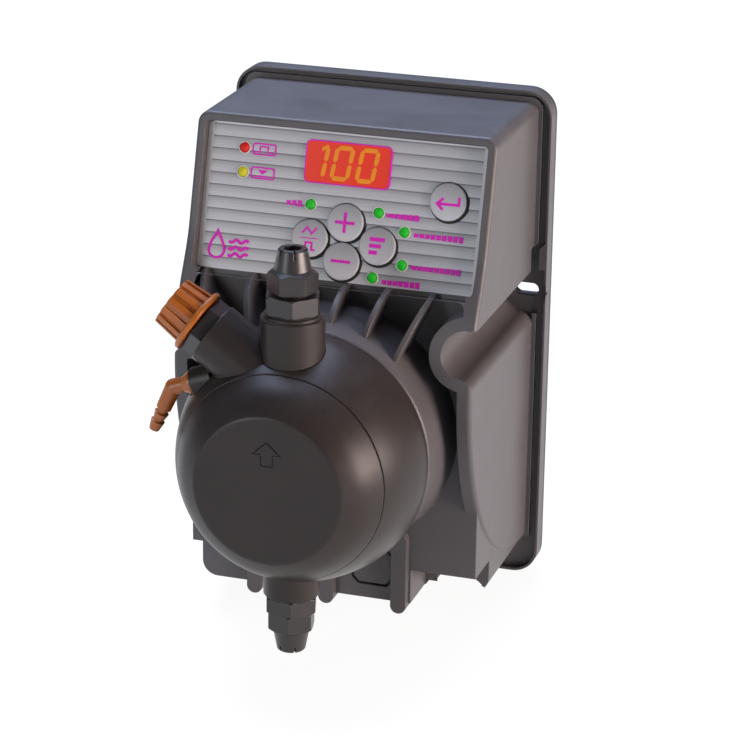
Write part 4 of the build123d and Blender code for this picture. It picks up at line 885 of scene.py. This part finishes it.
def arrow_line():
    """Thin dark closed band on the groove's floor, painted shade in the groove: the arrow's outline at two
    insets and two levels.
    """
    points = np.array(ARROW)
    before = points - np.roll(points, 1, axis=0)
    after = np.roll(points, -1, axis=0) - points
    before /= np.linalg.norm(before, axis=1)[:, None]
    after /= np.linalg.norm(after, axis=1)[:, None]
    inward = np.stack([before[:, 1] + after[:, 1], -before[:, 0] - after[:, 0]], axis=1)
    turn = (before * after).sum(axis=1)
    inward /= (1 + turn)[:, None]
    outer, inner = BAND_INSETS
    upper, lower = BAND_LEVELS
    rings = []
    for inset, sunk in ((outer, lower), (outer, upper), (inner, upper), (inner, lower)):
        ring = points + inward * inset
        depth = np.full(len(ring), cover_low[1] + sunk * mm)
        rings.append(np.stack([ring[:, 0] * mm, depth, ring[:, 1] * mm], axis=1))
    band = np.array(rings)[::-1]
    return surface("arrow_line", band, seal_rubber, wrap_across=True, wrap_along=True, smooth=False)


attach(arrow_line(), "pump")


# Floor, lamps and surrounding light
FLOOR_REACH = 6.0
FLOOR_GAP = 0.0004
FLOOR_WHITE, FLOOR_GLOW = 0.82, 1.12
SURROUND_STRENGTH = 0.07


def studio():
    """Pale floor that keeps a faint shadow, and an even pale surrounding."""
    ends = (-FLOOR_REACH, FLOOR_REACH)
    corners = np.array([[[x, y, cad_low[2] - FLOOR_GAP] for x in ends] for y in ends])
    material = bpy.data.materials.new("pale_floor")
    material.use_nodes = True
    tree = material.node_tree
    tree.nodes.remove(tree.nodes["Principled BSDF"])
    paint = add_node(tree, "ShaderNodeBsdfDiffuse", links={"Color": (0.9, 0.9, 0.9, 1)})
    white = add_node(tree, "ShaderNodeEmission", links={"Color": (1, 1, 1, 1), "Strength": FLOOR_GLOW})
    path = add_node(tree, "ShaderNodeLightPath")
    seen = maths(tree, "MAXIMUM", path.outputs["Is Camera Ray"], path.outputs["Is Glossy Ray"])
    through = maths(tree, "MAXIMUM", seen, path.outputs["Is Transmission Ray"])
    share = maths(tree, "MULTIPLY", through, FLOOR_WHITE)
    both = add_node(tree, "ShaderNodeMixShader", links={0: share, 1: paint.outputs[0], 2: white.outputs[0]})
    tree.links.new(both.outputs[0], tree.nodes["Material Output"].inputs["Surface"])
    floor = surface("floor", corners, material, smooth=False)

    world = bpy.data.worlds.new("surround")
    bpy.context.scene.world = world
    world.use_nodes = True
    tree = world.node_tree
    background = tree.nodes["Background"]
    path = add_node(tree, "ShaderNodeLightPath")
    strength = stretched(tree, path.outputs["Is Camera Ray"], 0.0, 1.0, SURROUND_STRENGTH, 1.0)
    background.inputs["Color"].default_value = (1, 1, 1, 1)
    tree.links.new(strength, background.inputs["Strength"])


def soft_lamp(name, place, aim, size, watts, colour):
    """Square area lamp that looks at a point."""
    data = bpy.data.lights.new(name, "AREA")
    data.size = size
    data.energy = watts
    data.color = colour
    lamp = bpy.data.objects.new(name, data)
    direction = Vector(place) - Vector(aim)
    lamp.matrix_world = Matrix.Translation(place) @ direction.to_track_quat("Z", "Y").to_matrix().to_4x4()
    bpy.context.scene.collection.objects.link(lamp)


studio()
middle = (0, -0.06, 0)
soft_lamp("side_lamp", (1.5, -0.3, -0.1), middle, 1.0, 72, (1.0, 0.82, 0.75))
soft_lamp("top_lamp", (-0.3, 0.45, 1.3), middle, 1.0, 30, (0.62, 0.72, 1.0))
soft_lamp("front_lamp", (-0.8, -1.4, 0.35), middle, 0.7, 8, (0.96, 0.97, 1.0))
